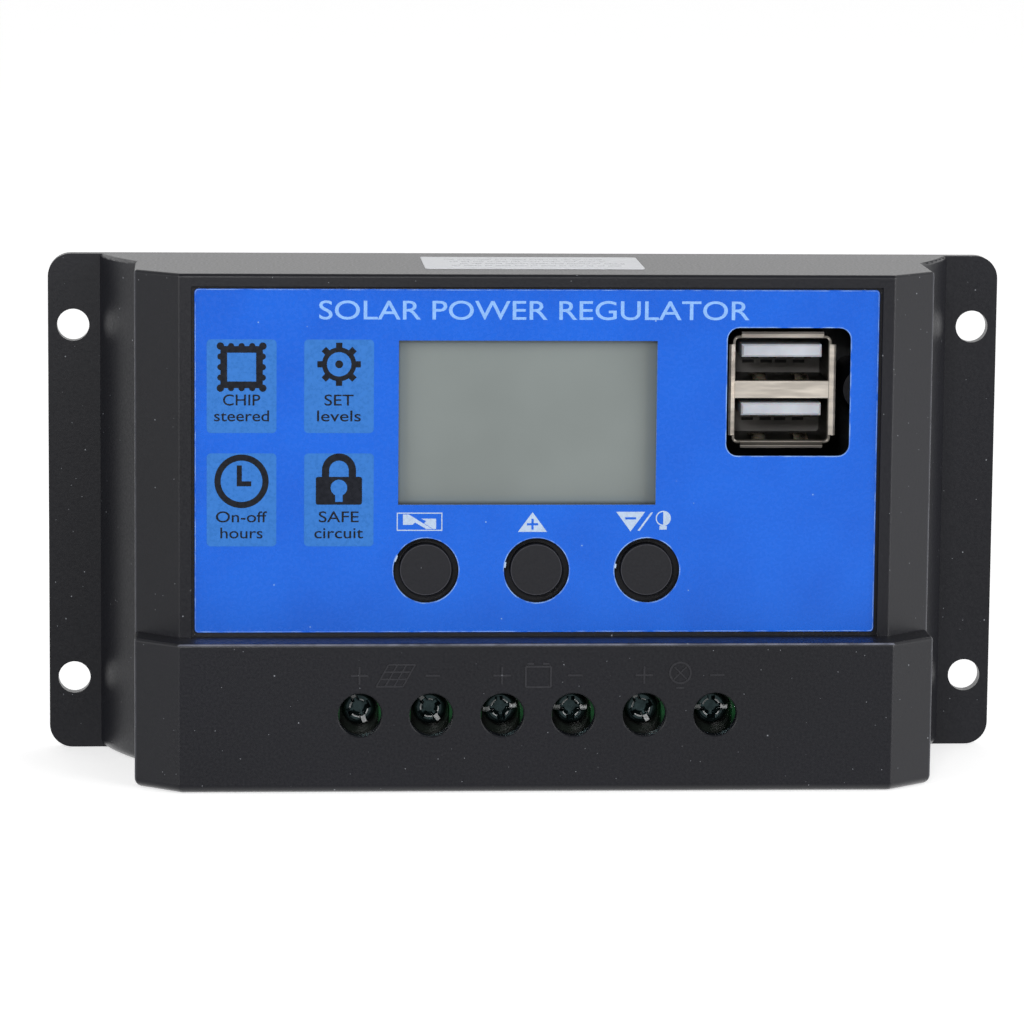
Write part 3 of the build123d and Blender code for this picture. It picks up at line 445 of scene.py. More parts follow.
def socket_nickel(name, colour, shade_tone):
    """Nickel-plated drawn sheet: satin and warm at the lips and divider, with painted shade darkening its cut
    edge, the bottom lip and the inside of the ports.
    """
    material, tree, place = start_material(name)
    spot = add_node(tree, "ShaderNodeSeparateXYZ", {"Vector": place})
    middle = (USB_LOW + USB_HIGH) / 2
    # Painted shade: the sheet is painted dull deeper inside the ports
    sunk_shade = remap(tree, spot.outputs["Y"], USB_LOW.y + 0.75 * MM, USB_LOW.y + 1.9 * MM, 0.0, 1.0)
    # The cut edge of the drawn wall stands 0.6 mm behind the lips, all round the two ports, and is painted
    # dull as painted shade behind the lips
    reach = []
    for axis, centre, half in (("X", middle.x, 6.4 * MM), ("Z", middle.z, 7.05 * MM)):
        far = distance(tree, spot.outputs[axis], centre)
        reach.append(add_node(tree, "ShaderNodeMath", {0: far, 1: half}, operation="SUBTRACT").outputs[0])
    outside = add_node(tree, "ShaderNodeMath", {0: reach[0], 1: reach[1]}, operation="MAXIMUM")
    wall = remap(tree, outside.outputs[0], -0.04 * MM, 0.02 * MM, 0.0, 1.0)
    behind = remap(tree, spot.outputs["Y"], USB_LOW.y + 0.50 * MM, USB_LOW.y + 0.58 * MM, 0.0, 0.72)
    edge = add_node(tree, "ShaderNodeMath", {0: wall, 1: behind}, operation="MULTIPLY")
    # Painted shade: the bottom lip is painted dark between two bright edges
    off = distance(tree, spot.outputs["Z"], middle.z - 7.38 * MM)
    lip_shade = remap(tree, off, 0.17 * MM, 0.25 * MM, 0.9, 0.0)
    inset = add_node(tree, "ShaderNodeMath", {0: edge.outputs[0], 1: lip_shade}, operation="MAXIMUM")
    shade_mask = add_node(tree, "ShaderNodeMath", {0: sunk_shade, 1: inset.outputs[0]}, operation="MAXIMUM")
    stretched = add_node(tree, "ShaderNodeMapping", {"Vector": place, "Scale": (1.0, 1.0, 9.0)})
    drawn = add_node(tree, "ShaderNodeTexNoise", {
        "Vector": stretched.outputs["Vector"], "Scale": per(5.0), "Detail": 4.0,
    })
    satin = between(tree, drawn.outputs["Fac"], shade(colour, 0.86), shade(colour, 1.08), 0.35, 0.65)
    tone = add_node(tree, "ShaderNodeMix", {
        "Factor": shade_mask.outputs[0], "A": satin, "B": shade_tone,
    }, data_type="RGBA")
    rough = remap(tree, drawn.outputs["Fac"], 0.3, 0.7, 0.36, 0.50)
    close_material(tree, Base_Color=tone.outputs["Result"], Metallic=0.8, Roughness=rough)
    return material


def passivated_head(name, colour, painted_glint):
    """Zinc-plated screw under a dark green passivate: glossy, with a painted white highlight on the slot's
    floor.

    The last argument gives the two depths that the slot's floor begins between, and the colour of its painted
    highlight.
    """
    material, tree, place = start_material(name)
    spot = add_node(tree, "ShaderNodeSeparateXYZ", {"Vector": place})
    # Painted highlight: the slot's floor is painted the given pale colour, nearly without metal
    level = remap(tree, spot.outputs["Y"], painted_glint[0], painted_glint[1], 0.0, 1.0)
    deep = remap(tree, spot.outputs["Y"], painted_glint[1] + 0.03 * MM, painted_glint[1] + 0.06 * MM, 1.0, 0.0)
    flat = facing_front(tree, 0.85, 0.95, 0.0, 1.0)
    band = add_node(tree, "ShaderNodeMath", {0: level, 1: deep}, operation="MULTIPLY")
    painted_highlight = add_node(tree, "ShaderNodeMath", {0: band.outputs[0], 1: flat}, operation="MULTIPLY")
    bloom = add_node(tree, "ShaderNodeTexNoise", {"Vector": place, "Scale": per(0.9), "Detail": 3.0})
    dark = between(tree, bloom.outputs["Fac"], shade(colour, 0.7), shade(colour, 1.25), 0.35, 0.65)
    tone = add_node(tree, "ShaderNodeMix", {
        "Factor": painted_highlight.outputs[0], "A": dark, "B": painted_glint[2],
    }, data_type="RGBA")
    rough = remap(tree, bloom.outputs["Fac"], 0.3, 0.7, 0.16, 0.26)
    bump = add_node(tree, "ShaderNodeBump", {
        "Height": bloom.outputs["Fac"], "Distance": 0.01 * MM, "Strength": 0.4,
    })
    plating = remap(tree, painted_highlight.outputs[0], 0.0, 1.0, 0.9, 0.05)
    close_material(tree, Base_Color=tone.outputs["Result"], Metallic=plating, Roughness=rough,
                   Normal=bump.outputs["Normal"])
    return material


def painted_highlight_zinc(name, colour):
    """Painted highlight: pale, scarcely metallic colour that stands in for glints on the recess edges."""
    material, tree, place = start_material(name)
    glint_noise = add_node(tree, "ShaderNodeTexNoise", {"Vector": place, "Scale": per(0.5), "Detail": 4.0})
    tone = between(tree, glint_noise.outputs["Fac"], shade(colour, 0.75), colour, 0.35, 0.60)
    rough = remap(tree, glint_noise.outputs["Fac"], 0.3, 0.7, 0.35, 0.55)
    close_material(tree, Base_Color=tone, Metallic=0.25, Roughness=rough)
    return material


def terminal_nylon(name, colour):
    """Green terminal nylon, with painted shade darkening the foot of each screw's well."""
    material, tree, place = start_material(name)
    spot = add_node(tree, "ShaderNodeSeparateXYZ", {"Vector": place})
    # Painted shade: below each screw the nylon is painted near black
    foot = remap(tree, spot.outputs["Z"], SCREW_Z - 0.5 * MM, SCREW_Z - 2.0 * MM, 0.0, 0.92)
    bottom = remap(tree, spot.outputs["Z"], SCREW_Z - 5.4 * MM, SCREW_Z - 5.0 * MM, 0.0, 1.0)
    well_shade = add_node(tree, "ShaderNodeMath", {0: foot, 1: bottom}, operation="MULTIPLY")
    cloud = add_node(tree, "ShaderNodeTexNoise", {"Vector": place, "Scale": per(2.5), "Detail": 4.0})
    nylon = between(tree, cloud.outputs["Fac"], shade(colour, 0.85), shade(colour, 1.15), 0.3, 0.7)
    tone = add_node(tree, "ShaderNodeMix", {
        "Factor": well_shade.outputs[0], "A": nylon, "B": linear("#06080a"),
    }, data_type="RGBA")
    rough = remap(tree, cloud.outputs["Fac"], 0.3, 0.7, 0.30, 0.42)
    close_material(tree, Base_Color=tone.outputs["Result"], Roughness=rough, IOR=1.53)
    return material


def moulded_insulator(name, colour, roughness=0.45, ior=1.57, clear=0.0):
    """Glossy to satin moulded nylon or PBT with a faint weld-line cloudiness."""
    material, tree, place = start_material(name)
    cloud = add_node(tree, "ShaderNodeTexNoise", {"Vector": place, "Scale": per(3.5), "Detail": 4.0})
    fine = add_node(tree, "ShaderNodeTexNoise", {"Vector": place, "Scale": per(0.22), "Detail": 2.0})
    tone = between(tree, cloud.outputs["Fac"], shade(colour, 0.9), shade(colour, 1.1), 0.3, 0.7)
    rough = remap(tree, fine.outputs["Fac"], 0.3, 0.7, roughness - 0.06, roughness + 0.08)
    bump = add_node(tree, "ShaderNodeBump", {
        "Height": fine.outputs["Fac"], "Distance": 0.006 * MM, "Strength": 0.4,
    })
    close_material(
        tree, Base_Color=tone, Roughness=rough, IOR=ior, Subsurface_Weight=clear,
        Subsurface_Scale=0.8 * MM, Normal=bump.outputs["Normal"],
    )
    return material


def rolled_aluminium(name, colour):
    """Mill-finish aluminium sheet: long rolling lines up the sheet and small handling marks."""
    material, tree, place = start_material(name)
    stretched = add_node(tree, "ShaderNodeMapping", {"Vector": place, "Scale": (1.0, 1.0, 0.03)})
    lines = add_node(tree, "ShaderNodeTexNoise", {
        "Vector": stretched.outputs["Vector"], "Scale": per(0.5), "Detail": 6.0, "Roughness": 0.7,
    })
    handling = add_node(tree, "ShaderNodeTexNoise", {"Vector": place, "Scale": per(22.0), "Detail": 4.0})
    tone = between(tree, handling.outputs["Fac"], shade(colour, 0.93), shade(colour, 1.03), 0.35, 0.65)
    rough = remap(tree, lines.outputs["Fac"], 0.25, 0.75, 0.26, 0.46)
    bump = add_node(tree, "ShaderNodeBump", {
        "Height": lines.outputs["Fac"], "Distance": 0.01 * MM, "Strength": 0.4,
    })
    close_material(tree, Base_Color=tone, Metallic=1.0, Roughness=rough, Normal=bump.outputs["Normal"])
    return material


def circuit_laminate(name):
    """Glass-epoxy board under black solder mask: copper tracks show through as paler lines."""
    material, tree, place = start_material(name)
    tracks = add_node(tree, "ShaderNodeTexBrick", {
        "Vector": add_node(tree, "ShaderNodeMapping", {
            "Vector": place, "Rotation": (math.pi / 2, 0.0, 0.0),
        }).outputs["Vector"],
        "Color1": linear("#0b0d0e"), "Color2": linear("#0d1011"), "Mortar": linear("#171c1e"),
        "Scale": per(12.0), "Mortar Size": 0.03, "Brick Width": 0.8, "Row Height": 0.22,
    })
    weave = add_node(tree, "ShaderNodeTexNoise", {"Vector": place, "Scale": per(0.8), "Detail": 3.0})
    rough = remap(tree, weave.outputs["Fac"], 0.3, 0.7, 0.28, 0.40)
    close_material(tree, Base_Color=tracks.outputs["Color"], Roughness=rough, IOR=1.55)
    return material


def coated_paper(name, colour):
    """White vinyl sticker: matt, with a slight tooth."""
    material, tree, place = start_material(name)
    tooth = add_node(tree, "ShaderNodeTexNoise", {"Vector": place, "Scale": per(0.3), "Detail": 3.0})
    tone = between(tree, tooth.outputs["Fac"], shade(colour, 0.95), shade(colour, 1.03), 0.3, 0.7)
    bump = add_node(tree, "ShaderNodeBump", {
        "Height": tooth.outputs["Fac"], "Distance": 0.005 * MM, "Strength": 0.3,
    })
    close_material(tree, Base_Color=tone, Roughness=0.55, IOR=1.5, Normal=bump.outputs["Normal"])
    return material


def wound_copper(name):
    """Enamelled copper wire: close turns seen as fine bright rings."""
    material, tree, place = start_material(name)
    turns = add_node(tree, "ShaderNodeTexWave", {
        "Vector": place, "Scale": per(0.6) / (2 * math.pi), "Distortion": 0.4,
    }, wave_type="BANDS", bands_direction="Y")
    tone = between(tree, turns.outputs["Fac"], linear("#5b2410"), linear("#c4703a"))
    close_material(tree, Base_Color=tone, Metallic=1.0, Roughness=0.3)
    return material


def paint(material, *names):
    """Gives CAD nodes their material by name."""
    for name in names:
        mesh = NODES[name].data
        mesh.materials.clear()
        mesh.materials.append(material)


# ------------------------------------------------------------------ mesh helpers
def finish_piece(bm, name, material, body=CASE_BODY):
    """Turns a bmesh into a piece that rides on a body, with its place in its mesh."""
    bmesh.ops.remove_doubles(bm, verts=bm.verts, dist=1e-7)
    bmesh.ops.recalc_face_normals(bm, faces=bm.faces)
    mesh = bpy.data.meshes.new(name)
    bm.to_mesh(mesh)
    bm.free()
    piece = bpy.data.objects.new(name, mesh)
    bpy.context.scene.collection.objects.link(piece)
    mesh.materials.append(material)
    mesh.shade_smooth()
    mesh.set_sharp_from_angle(angle=SMOOTH_ANGLE)
    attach(piece, body)


def corners(faces):
    """The vertices of some faces, each once."""
    return list(dict.fromkeys(vert for face in faces for vert in face.verts))


def extrude_flat(bm, faces, depth, way=(0.0, -1.0, 0.0)):
    """Thickens flat faces into closed solids, towards the front (-Y) if no way is given."""
    grown = bmesh.ops.extrude_face_region(bm, geom=faces, use_keep_orig=True)
    moved = [item for item in grown["geom"] if isinstance(item, bmesh.types.BMVert)]
    bmesh.ops.translate(bm, verts=moved, vec=Vector(way) * depth)


def upright(x, z, y, turn=0.0):
    """Matrix that stands a flat XY shape up in the XZ plane, facing the front, at a place."""
    stand = Matrix.Translation((x, y, z)) @ Matrix.Rotation(math.pi / 2, 4, "X")
    return stand @ Matrix.Rotation(turn, 4, "Z")


def add_rectangle(bm, width, height, place, corner=0.0):
    """One flat rectangle, with rounded corners if asked."""
    size = Matrix.Diagonal((width, height, 1, 1))
    verts = bmesh.ops.create_grid(bm, x_segments=1, y_segments=1, size=0.5, matrix=size)["verts"]
    if corner:
        rounded = bmesh.ops.bevel(
            bm, geom=verts, offset=corner, segments=5, profile=0.5, affect="VERTICES", material=-1,
        )
        verts = list(rounded["verts"][0].link_faces[0].verts)
    bmesh.ops.transform(bm, matrix=place, verts=verts)
    return [verts[0].link_faces[0]]


def add_disc(bm, radius, place, segments=32):
    """One flat disc."""
    made = bmesh.ops.create_circle(bm, cap_ends=True, radius=radius, segments=segments)
    bmesh.ops.transform(bm, matrix=place, verts=made["verts"])
    return [made["verts"][0].link_faces[0]]


def add_ring(bm, outer, inner, place, segments=48):
    """One flat ring, bridged between two circles."""
    rim = bmesh.ops.create_circle(bm, radius=outer, segments=segments)["verts"]
    hole = bmesh.ops.create_circle(bm, radius=inner, segments=segments)["verts"]
    edges = list(dict.fromkeys(edge for vert in rim + hole for edge in vert.link_edges))
    faces = bmesh.ops.bridge_loops(bm, edges=edges)["faces"]
    bmesh.ops.transform(bm, matrix=place, verts=rim + hole)
    return faces


def add_frame(bm, width, height, corner, line, place):
    """One flat rounded frame of a line's width, outside a rounded rectangle."""
    loops = []
    for grow in (0.0, line):
        flat = Matrix.Identity(4)
        face = add_rectangle(bm, width + 2 * grow, height + 2 * grow, flat, corner + grow)[0]
        loops += list(face.edges)
        bmesh.ops.delete(bm, geom=[face], context="FACES_ONLY")
    faces = bmesh.ops.bridge_loops(bm, edges=loops)["faces"]
    bmesh.ops.transform(bm, matrix=place, verts=corners(faces))
    return faces


def add_outline(bm, points, place):
    """One flat face round a few corner points given in its own plane."""
    face = bm.faces.new([bm.verts.new((x, z, 0.0)) for x, z in points])
    bmesh.ops.transform(bm, matrix=place, verts=face.verts)
    return [face]


def lettering(name, words, height, place, material, width, weight=0.004):
    """Generic lettering as a thin closed mesh; height is the capitals', weight thickens the strokes."""
    curve = bpy.data.curves.new(name + "_text", "FONT")
    curve.body = words
    curve.align_x = "CENTER"
    curve.align_y = "CENTER"
    curve.size = 1.0
    curve.offset = weight
    curve.resolution_u = 6
    text = bpy.data.objects.new(name + "_text", curve)
    bpy.context.scene.collection.objects.link(text)
    bpy.context.view_layer.update()
    flat = bpy.data.meshes.new_from_object(text.evaluated_get(bpy.context.evaluated_depsgraph_get()))
    bpy.data.objects.remove(text)
    bm = bmesh.new()
    bm.from_mesh(flat)
    bpy.data.meshes.remove(flat)
    bmesh.ops.remove_doubles(bm, verts=bm.verts, dist=1e-5)
    scale_z = height / CAP_HEIGHT_OF_FONT
    low = min(v.co.x for v in bm.verts)
    high = max(v.co.x for v in bm.verts)
    scale_x = width / (high - low)
    shift = Matrix.Translation((-(low + high) / 2, 0.0, 0.0))
    scale = Matrix.Diagonal((scale_x, scale_z, 1, 1))
    bmesh.ops.transform(bm, matrix=place @ scale @ shift, verts=bm.verts)
    extrude_flat(bm, bm.faces[:], INK_THICKNESS)
    finish_piece(bm, name, material)


# ------------------------------------------------------------------ operators
class CONTROLLER_OT_case(bpy.types.Operator):
    """Finish the moulded case and add the symbols moulded into the terminal cover."""

    bl_idname = "controller.case"
    bl_label = "Case"

    def execute(self, context):
        settings = context.scene.controller_case
        # Edges given a pale painted highlight: the step's front edge, and faintly the side walls where they
        # meet both chamfers
        edges = [(("Z", STEP_Z), ("Y", COVER_FACE))]
        faint_highlight = [
            (("X", side * SIDE_X), ("Y", -depth))
            for side in (-1, 1) for depth in (PANEL_CHAMFER, COVER_CHAMFER)
        ]
        plastic = moulded_abs(
            "moulded_abs_black", settings.plastic, settings.dust, painted_highlight_edges=edges, faint_highlight_edges=faint_highlight,
        )
        paint(plastic, "front_shell")
        line = settings.mark_line
        front = COVER_FACE
        bm = bmesh.new()
        faces = []
        middles = [(TERMINAL_XS[i] + TERMINAL_XS[i + 1]) / 2 for i in (0, 2, 4)]
        tuck = Matrix.Translation((0, 0, TUCK))
        for middle in middles:
            left, right = middle - 4.9 * MM, middle + 5.0 * MM
            faces += add_rectangle(bm, 2.4 * MM, line, upright(left, settings.mark_z, front))
            faces += add_rectangle(bm, line, 2.4 * MM, upright(left, settings.mark_z, front) @ tuck)
            faces += add_rectangle(bm, 2.0 * MM, line, upright(right, settings.mark_z, front))
        # Solar panel: a slanted grid of lines
        panel = upright(middles[0], settings.mark_z, front) @ Matrix.Shear("XZ", 4, (0.55, 0.0))
        for step in (-1.5, -0.5, 0.5, 1.5):
            across = panel @ Matrix.Translation((step * 1.2 * MM, 0, 0))
            up = panel @ Matrix.Translation((0, step * MM, TUCK))
            faces += add_rectangle(bm, line * 0.8, 3.0 * MM, across)
            faces += add_rectangle(bm, 3.6 * MM, line * 0.8, up)
        # Battery: an open box with two posts
        for x in (-1.7, 1.7):
            wall = upright(middles[1] + x * MM, settings.mark_z - 0.2 * MM, front)
            post = upright(middles[1] + x * 0.62 * MM, settings.mark_z + 1.6 * MM, front)
            faces += add_rectangle(bm, line, 2.8 * MM, wall)
            faces += add_rectangle(bm, 0.9 * MM, line, post)
        for z in (-1.6, 1.2):
            lid = upright(middles[1], settings.mark_z + z * MM, front) @ tuck
            faces += add_rectangle(bm, 3.4 * MM, line, lid)
        # Lamp: a ring with a crossed filament and a foot
        lamp_z = settings.mark_z + 0.3 * MM
        faces += add_ring(bm, 1.55 * MM, 1.55 * MM - line, upright(middles[2], lamp_z, front))
        for turn, back in ((math.pi / 4, 0.5 * TUCK), (-math.pi / 4, 1.5 * TUCK)):
            lamp = upright(middles[2], lamp_z, front, turn)
            faces += add_rectangle(bm, 2.4 * MM, line * 0.7, lamp @ Matrix.Translation((0, 0, back)))
        faces += add_rectangle(bm, 1.1 * MM, line, upright(middles[2], settings.mark_z - 1.75 * MM, front))
        extrude_flat(bm, faces, settings.mark_height)
        # The raised symbols are painted paler than the case: dust on them, and a painted highlight for the
        # light their raised faces catch
        lightened = moulded_abs("moulded_abs_lightened", linear("#2c2c31"), settings.dust, 0.34)
        finish_piece(bm, "cover_symbols", lightened)
        return {"FINISHED"}


class CONTROLLER_OT_label(bpy.types.Operator):
    """Finish the blue label and print its title, tiles, icons and button symbols."""

    bl_idname = "controller.label"
    bl_label = "Front label"

    # Tile middles as (x, z), and each caption's two lines with their widths, all in millimetres
    tiles = (
        (-39.97, 19.76, ("CHIP", 5.0), ("steered", 7.4)),
        (-26.85, 19.76, ("SET", 3.9), ("levels", 5.9)),
        (-39.97, 4.29, ("On-off", 6.9), ("hours", 5.7)),
        (-26.82, 4.29, ("SAFE", 5.4), ("circuit", 6.6)),
    )

    def icon_chip(self, bm, place):
        """Square frame with a scalloped outer edge."""
        half, inner = 2.85 * MM, 1.95 * MM
        faces = []
        for side in (-1, 1):
            middle = side * (half + inner) / 2
            faces += add_rectangle(bm, 2 * half, half - inner, place @ Matrix.Translation((0, middle, 0)))
            faces += add_rectangle(bm, half - inner, 2 * inner, place @ Matrix.Translation((middle, 0, 0)))
            for i in (-1, 0, 1):
                for spot in ((i * 0.5 * half, side * half), (side * half, i * 0.5 * half)):
                    faces += add_disc(bm, 0.42 * MM, place @ Matrix.Translation((*spot, TUCK)), 16)
            for other in (-1, 1):
                corner = place @ Matrix.Translation((side * half, other * half, TUCK))
                faces += add_disc(bm, 0.5 * MM, corner, 20)
        return faces

    def icon_gear(self, bm, place):
        """Ring with eight teeth and a dot."""
        faces = add_ring(bm, 2.3 * MM, 1.65 * MM, place)
        faces += add_disc(bm, 0.53 * MM, place)
        for i in range(8):
            tooth = place @ Matrix.Rotation(i * math.pi / 4, 4, "Z") @ Matrix.Translation((0, 2.5 * MM, TUCK))
            faces += add_rectangle(bm, 0.85 * MM, 0.85 * MM, tooth)
        return faces

    def icon_clock(self, bm, place):
        """Ring with two hands at a right angle."""
        faces = add_ring(bm, 3.66 * MM, 2.82 * MM, place)
        minute = place @ Matrix.Translation((-0.3 * MM, 0.75 * MM, 0))
        hour = place @ Matrix.Translation((0.33 * MM, -0.34 * MM, TUCK))
        faces += add_rectangle(bm, 0.68 * MM, 2.85 * MM, minute)
        faces += add_rectangle(bm, 1.95 * MM, 0.68 * MM, hour)
        return faces

    def icon_lock(self, bm, place):
        """Padlock: a rounded body, a shackle and a keyhole of tile colour."""
        body = place @ Matrix.Translation((0, -1.25 * MM, 0))
        faces = add_rectangle(bm, 6.25 * MM, 3.8 * MM, body, 0.3 * MM)
        arch = place @ Matrix.Translation((0, 1.55 * MM, 0))
        band = add_ring(bm, 2.3 * MM, 1.32 * MM, Matrix.Identity(4))
        lower = [face for face in band if face.calc_center_median().y < -1e-6]
        upper = [face for face in band if face not in lower]
        bmesh.ops.delete(bm, geom=lower, context="FACES")
        bmesh.ops.transform(bm, matrix=arch, verts=corners(upper))
        for side in (-1, 1):
            leg = arch @ Matrix.Translation((side * 1.81 * MM, -0.45 * MM, TUCK))
            faces += add_rectangle(bm, 0.98 * MM, 1.0 * MM, leg)
        return faces + upper

    def keyhole(self, bm, place):
        """Round hole over a slot."""
        faces = add_disc(bm, 1.12 * MM, place @ Matrix.Translation((0, -0.85 * MM, 0)), 28)
        faces += add_rectangle(bm, 1.0 * MM, 1.5 * MM, place @ Matrix.Translation((0, -2.0 * MM, TUCK)))
        return faces

    def execute(self, context):
        settings = context.scene.controller_label
        slot = "label_film"
        film = printed_film("printed_polycarbonate_blue", settings.blue, settings.deep, settings.edge)
        paint(film, "front_label")
        tile_ink = screen_ink("screen_ink_tile", settings.tile)
        dark_ink = screen_ink("screen_ink_dark", settings.dark, 0.12)
        pale_ink = screen_ink("screen_ink_pale", settings.pale)
        symbol_ink = screen_ink("screen_ink_symbol", settings.symbol)
        blue_ink = screen_ink("screen_ink_blue", settings.blue)
        first, second, third = (LABEL_FACE - n * INK_THICKNESS for n in (0, 1, 2))

        bm = bmesh.new()
        faces = []
        for x, z, _, _ in self.tiles:
            faces += add_rectangle(
                bm, 9.4 * MM, 12.7 * MM, upright(x * MM, z * MM, first), 0.55 * MM,
            )
        extrude_flat(bm, faces, INK_THICKNESS)
        finish_piece(bm, "label_tiles", tile_ink)

        draw = (self.icon_chip, self.icon_gear, self.icon_clock, self.icon_lock)
        rises = (2.6, 3.0, 2.54, 2.5)
        bm = bmesh.new()
        faces = []
        for (x, z, _, _), shape, rise in zip(self.tiles, draw, rises):
            faces += shape(bm, upright(x * MM, (z + rise) * MM, second))
        extrude_flat(bm, faces, INK_THICKNESS)
        finish_piece(bm, "label_icons", dark_ink)
        bm = bmesh.new()
        x, z = self.tiles[3][:2]
        extrude_flat(bm, self.keyhole(bm, upright(x * MM, (z + rises[3]) * MM, third)), INK_THICKNESS)
        finish_piece(bm, "label_keyhole", tile_ink)

        # The captions sit a little lower on the second row of tiles
        drops = ((-1.95, -4.1), (-1.95, -4.1), (-2.4, -4.6), (-2.4, -4.6))
        for number, ((x, z, upper, lower), falls) in enumerate(zip(self.tiles, drops), start=1):
            for part, (text, wide), drop in zip("ab", (upper, lower), falls):
                lettering(
                    f"label_caption_{number}{part}", text, 1.5 * MM,
                    upright(x * MM, (z + drop) * MM, second), dark_ink, wide * MM,
                )
        lettering(
            "label_title", settings.title, settings.title_caps,
            upright(settings.title_x, settings.title_z, first), pale_ink, settings.title_width,
        )
        self.button_symbols(symbol_ink, blue_ink, slot, first, second)
        self.rims(cut_burr("film_cut_burr", settings.blue, settings.edge), symbol_ink, slot)
        return {"FINISHED"}

    def button_symbols(self, symbol_ink, blue_ink, slot, first, second):
        """Menu, up and down symbols over the buttons."""
        row = 1.3 * MM
        menu_x, up_x, down_x, lamp_x = (BUTTON_XS[0] - 0.9 * MM, BUTTON_XS[1] - 0.6 * MM,
                                        BUTTON_XS[2] - 2.3 * MM, BUTTON_XS[2] + 2.15 * MM)
        bm = bmesh.new()
        faces = []
        box = upright(menu_x, row, first)
        width, height, line = 6.2 * MM, 2.5 * MM, 0.15 * MM
        for side in (-1, 1):
            rail = box @ Matrix.Translation((0, side * (height - line) / 2, 0))
            faces += add_rectangle(bm, width, line, rail)
            faces += add_rectangle(bm, line, height - 2 * line,
                                   box @ Matrix.Translation((side * (width - line) / 2, 0, 0)))
        # Two opposed wedges that meet at the middle
        wedge = [
            (-2.25, -0.42), (-0.95, -0.42), (-0.62, -0.1), (0.9, -1.0),
            (1.75, -1.0), (-0.1, 0.15), (-1.45, 1.0), (-2.25, 1.0),
        ]
        faces += add_outline(bm, [(x * MM, z * MM) for x, z in wedge], box)
        blade = [(0.22, 0.42), (2.25, 0.42), (2.25, -1.0), (1.85, -1.0), (0.62, -0.22), (0.9, 0.1)]
        faces += add_outline(bm, [(x * MM, z * MM) for x, z in blade], box)
        half, rise = 1.98 * MM, 1.35 * MM
        head = upright(up_x, row - 0.05 * MM, first)
        faces += add_outline(bm, [(-half, -rise), (half, -rise), (0, rise)], head)
        faces += add_outline(bm, [(-half, rise), (0, -rise), (half, rise)], upright(down_x, row, first))
        slash = [(-1.05, -1.25), (-0.75, -1.25), (1.05, 1.25), (0.75, 1.25)]
        bar = upright(down_x + 2.0 * MM, row, first)
        faces += add_outline(bm, [(x * MM, z * MM) for x, z in slash], bar)
        lamp = upright(lamp_x, row + 0.45 * MM, first)
        faces += add_ring(bm, 1.04 * MM, 0.87 * MM, lamp)
        # The right half of the lamp is filled
        circle = bmesh.ops.create_circle(bm, radius=0.87 * MM, segments=32)["verts"]
        bmesh.ops.delete(bm, geom=[vert for vert in circle if vert.co.x < -1e-7], context="VERTS")
        arc = [vert for vert in circle if vert.is_valid]
        faces += bmesh.ops.contextual_create(bm, geom=arc)["faces"]
        bmesh.ops.transform(bm, matrix=lamp, verts=arc)
        faces += add_rectangle(bm, 1.0 * MM, 0.5 * MM, lamp @ Matrix.Translation((0, -1.3 * MM, 0)))
        extrude_flat(bm, faces, INK_THICKNESS)
        finish_piece(bm, "label_button_symbols", symbol_ink)

        bm = bmesh.new()
        faces = []
        plus = upright(up_x, row - 0.35 * MM, second)
        faces += add_rectangle(bm, 1.5 * MM, 0.3 * MM, plus)
        faces += add_rectangle(bm, 0.3 * MM, 1.5 * MM, plus @ Matrix.Translation((0, 0, TUCK)))
        faces += add_rectangle(bm, 1.5 * MM, 0.3 * MM, upright(down_x, row + 0.45 * MM, second))
        extrude_flat(bm, faces, INK_THICKNESS)
        finish_piece(bm, "label_button_cutouts", blue_ink)

    def rims(self, rim_ink, white_ink, slot):
        """Pale burr of the die cut round the button holes, the socket window and the label's edge."""
        burr = 0.13 * MM
        bm = bmesh.new()
        faces = []
        for x in BUTTON_XS:
            hole = upright(x, BUTTON_Z, LABEL_FACE)
            faces += add_ring(bm, BUTTON_HOLE_RADIUS + burr, BUTTON_HOLE_RADIUS, hole, 72)
        window = upright(WINDOW_X, WINDOW_Z, LABEL_FACE)
        faces += add_frame(bm, WINDOW_WIDTH, WINDOW_HEIGHT, WINDOW_CORNER, burr, window)
        low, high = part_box("front_label")
        middle = (low + high) / 2
        outline = upright(middle.x, middle.z, LABEL_FACE)
        wide, tall = high.x - low.x - 0.3 * MM, high.z - low.z - 0.3 * MM
        faces += add_frame(bm, wide, tall, 0.4 * MM, 0.09 * MM, outline)
        extrude_flat(bm, faces, INK_THICKNESS)
        finish_piece(bm, "label_cut_rims", rim_ink)
        # Torn flecks of film left at the button holes by the die
        bm = bmesh.new()
        faces = []
        flecks = ((158, 0.16, 0.9), (170, 0.26, 0.75), (172, 0.26, 0.6))
        for x, (turn, wide, tall) in zip(BUTTON_XS, flecks):
            out = Matrix.Translation((4.36 * MM, 0, 0.5 * TUCK))
            place = upright(x, BUTTON_Z, LABEL_FACE) @ Matrix.Rotation(math.radians(turn), 4, "Z") @ out
            faces += add_rectangle(bm, wide * MM, tall * MM, place, 0.06 * MM)
        extrude_flat(bm, faces, INK_THICKNESS)
        finish_piece(bm, "label_flecks", white_ink)


class CONTROLLER_OT_display(bpy.types.Operator):
    """Finish the display glass, its light guide and its pins."""

    bl_idname = "controller.display"
    bl_label = "Display"

    def execute(self, context):
        settings = context.scene.controller_display
        metal = context.scene.controller_metal
        paint(display_glass("twisted_nematic_glass", settings.lit, settings.shade), "lcd_glass")
        paint(moulded_insulator("light_guide_acrylic", linear("#d5dade"), 0.2, 1.49), "lcd_backlight")
        paint(plated_metal("tinned_pins", metal.tin, 0.3), "lcd_pins")
        return {"FINISHED"}


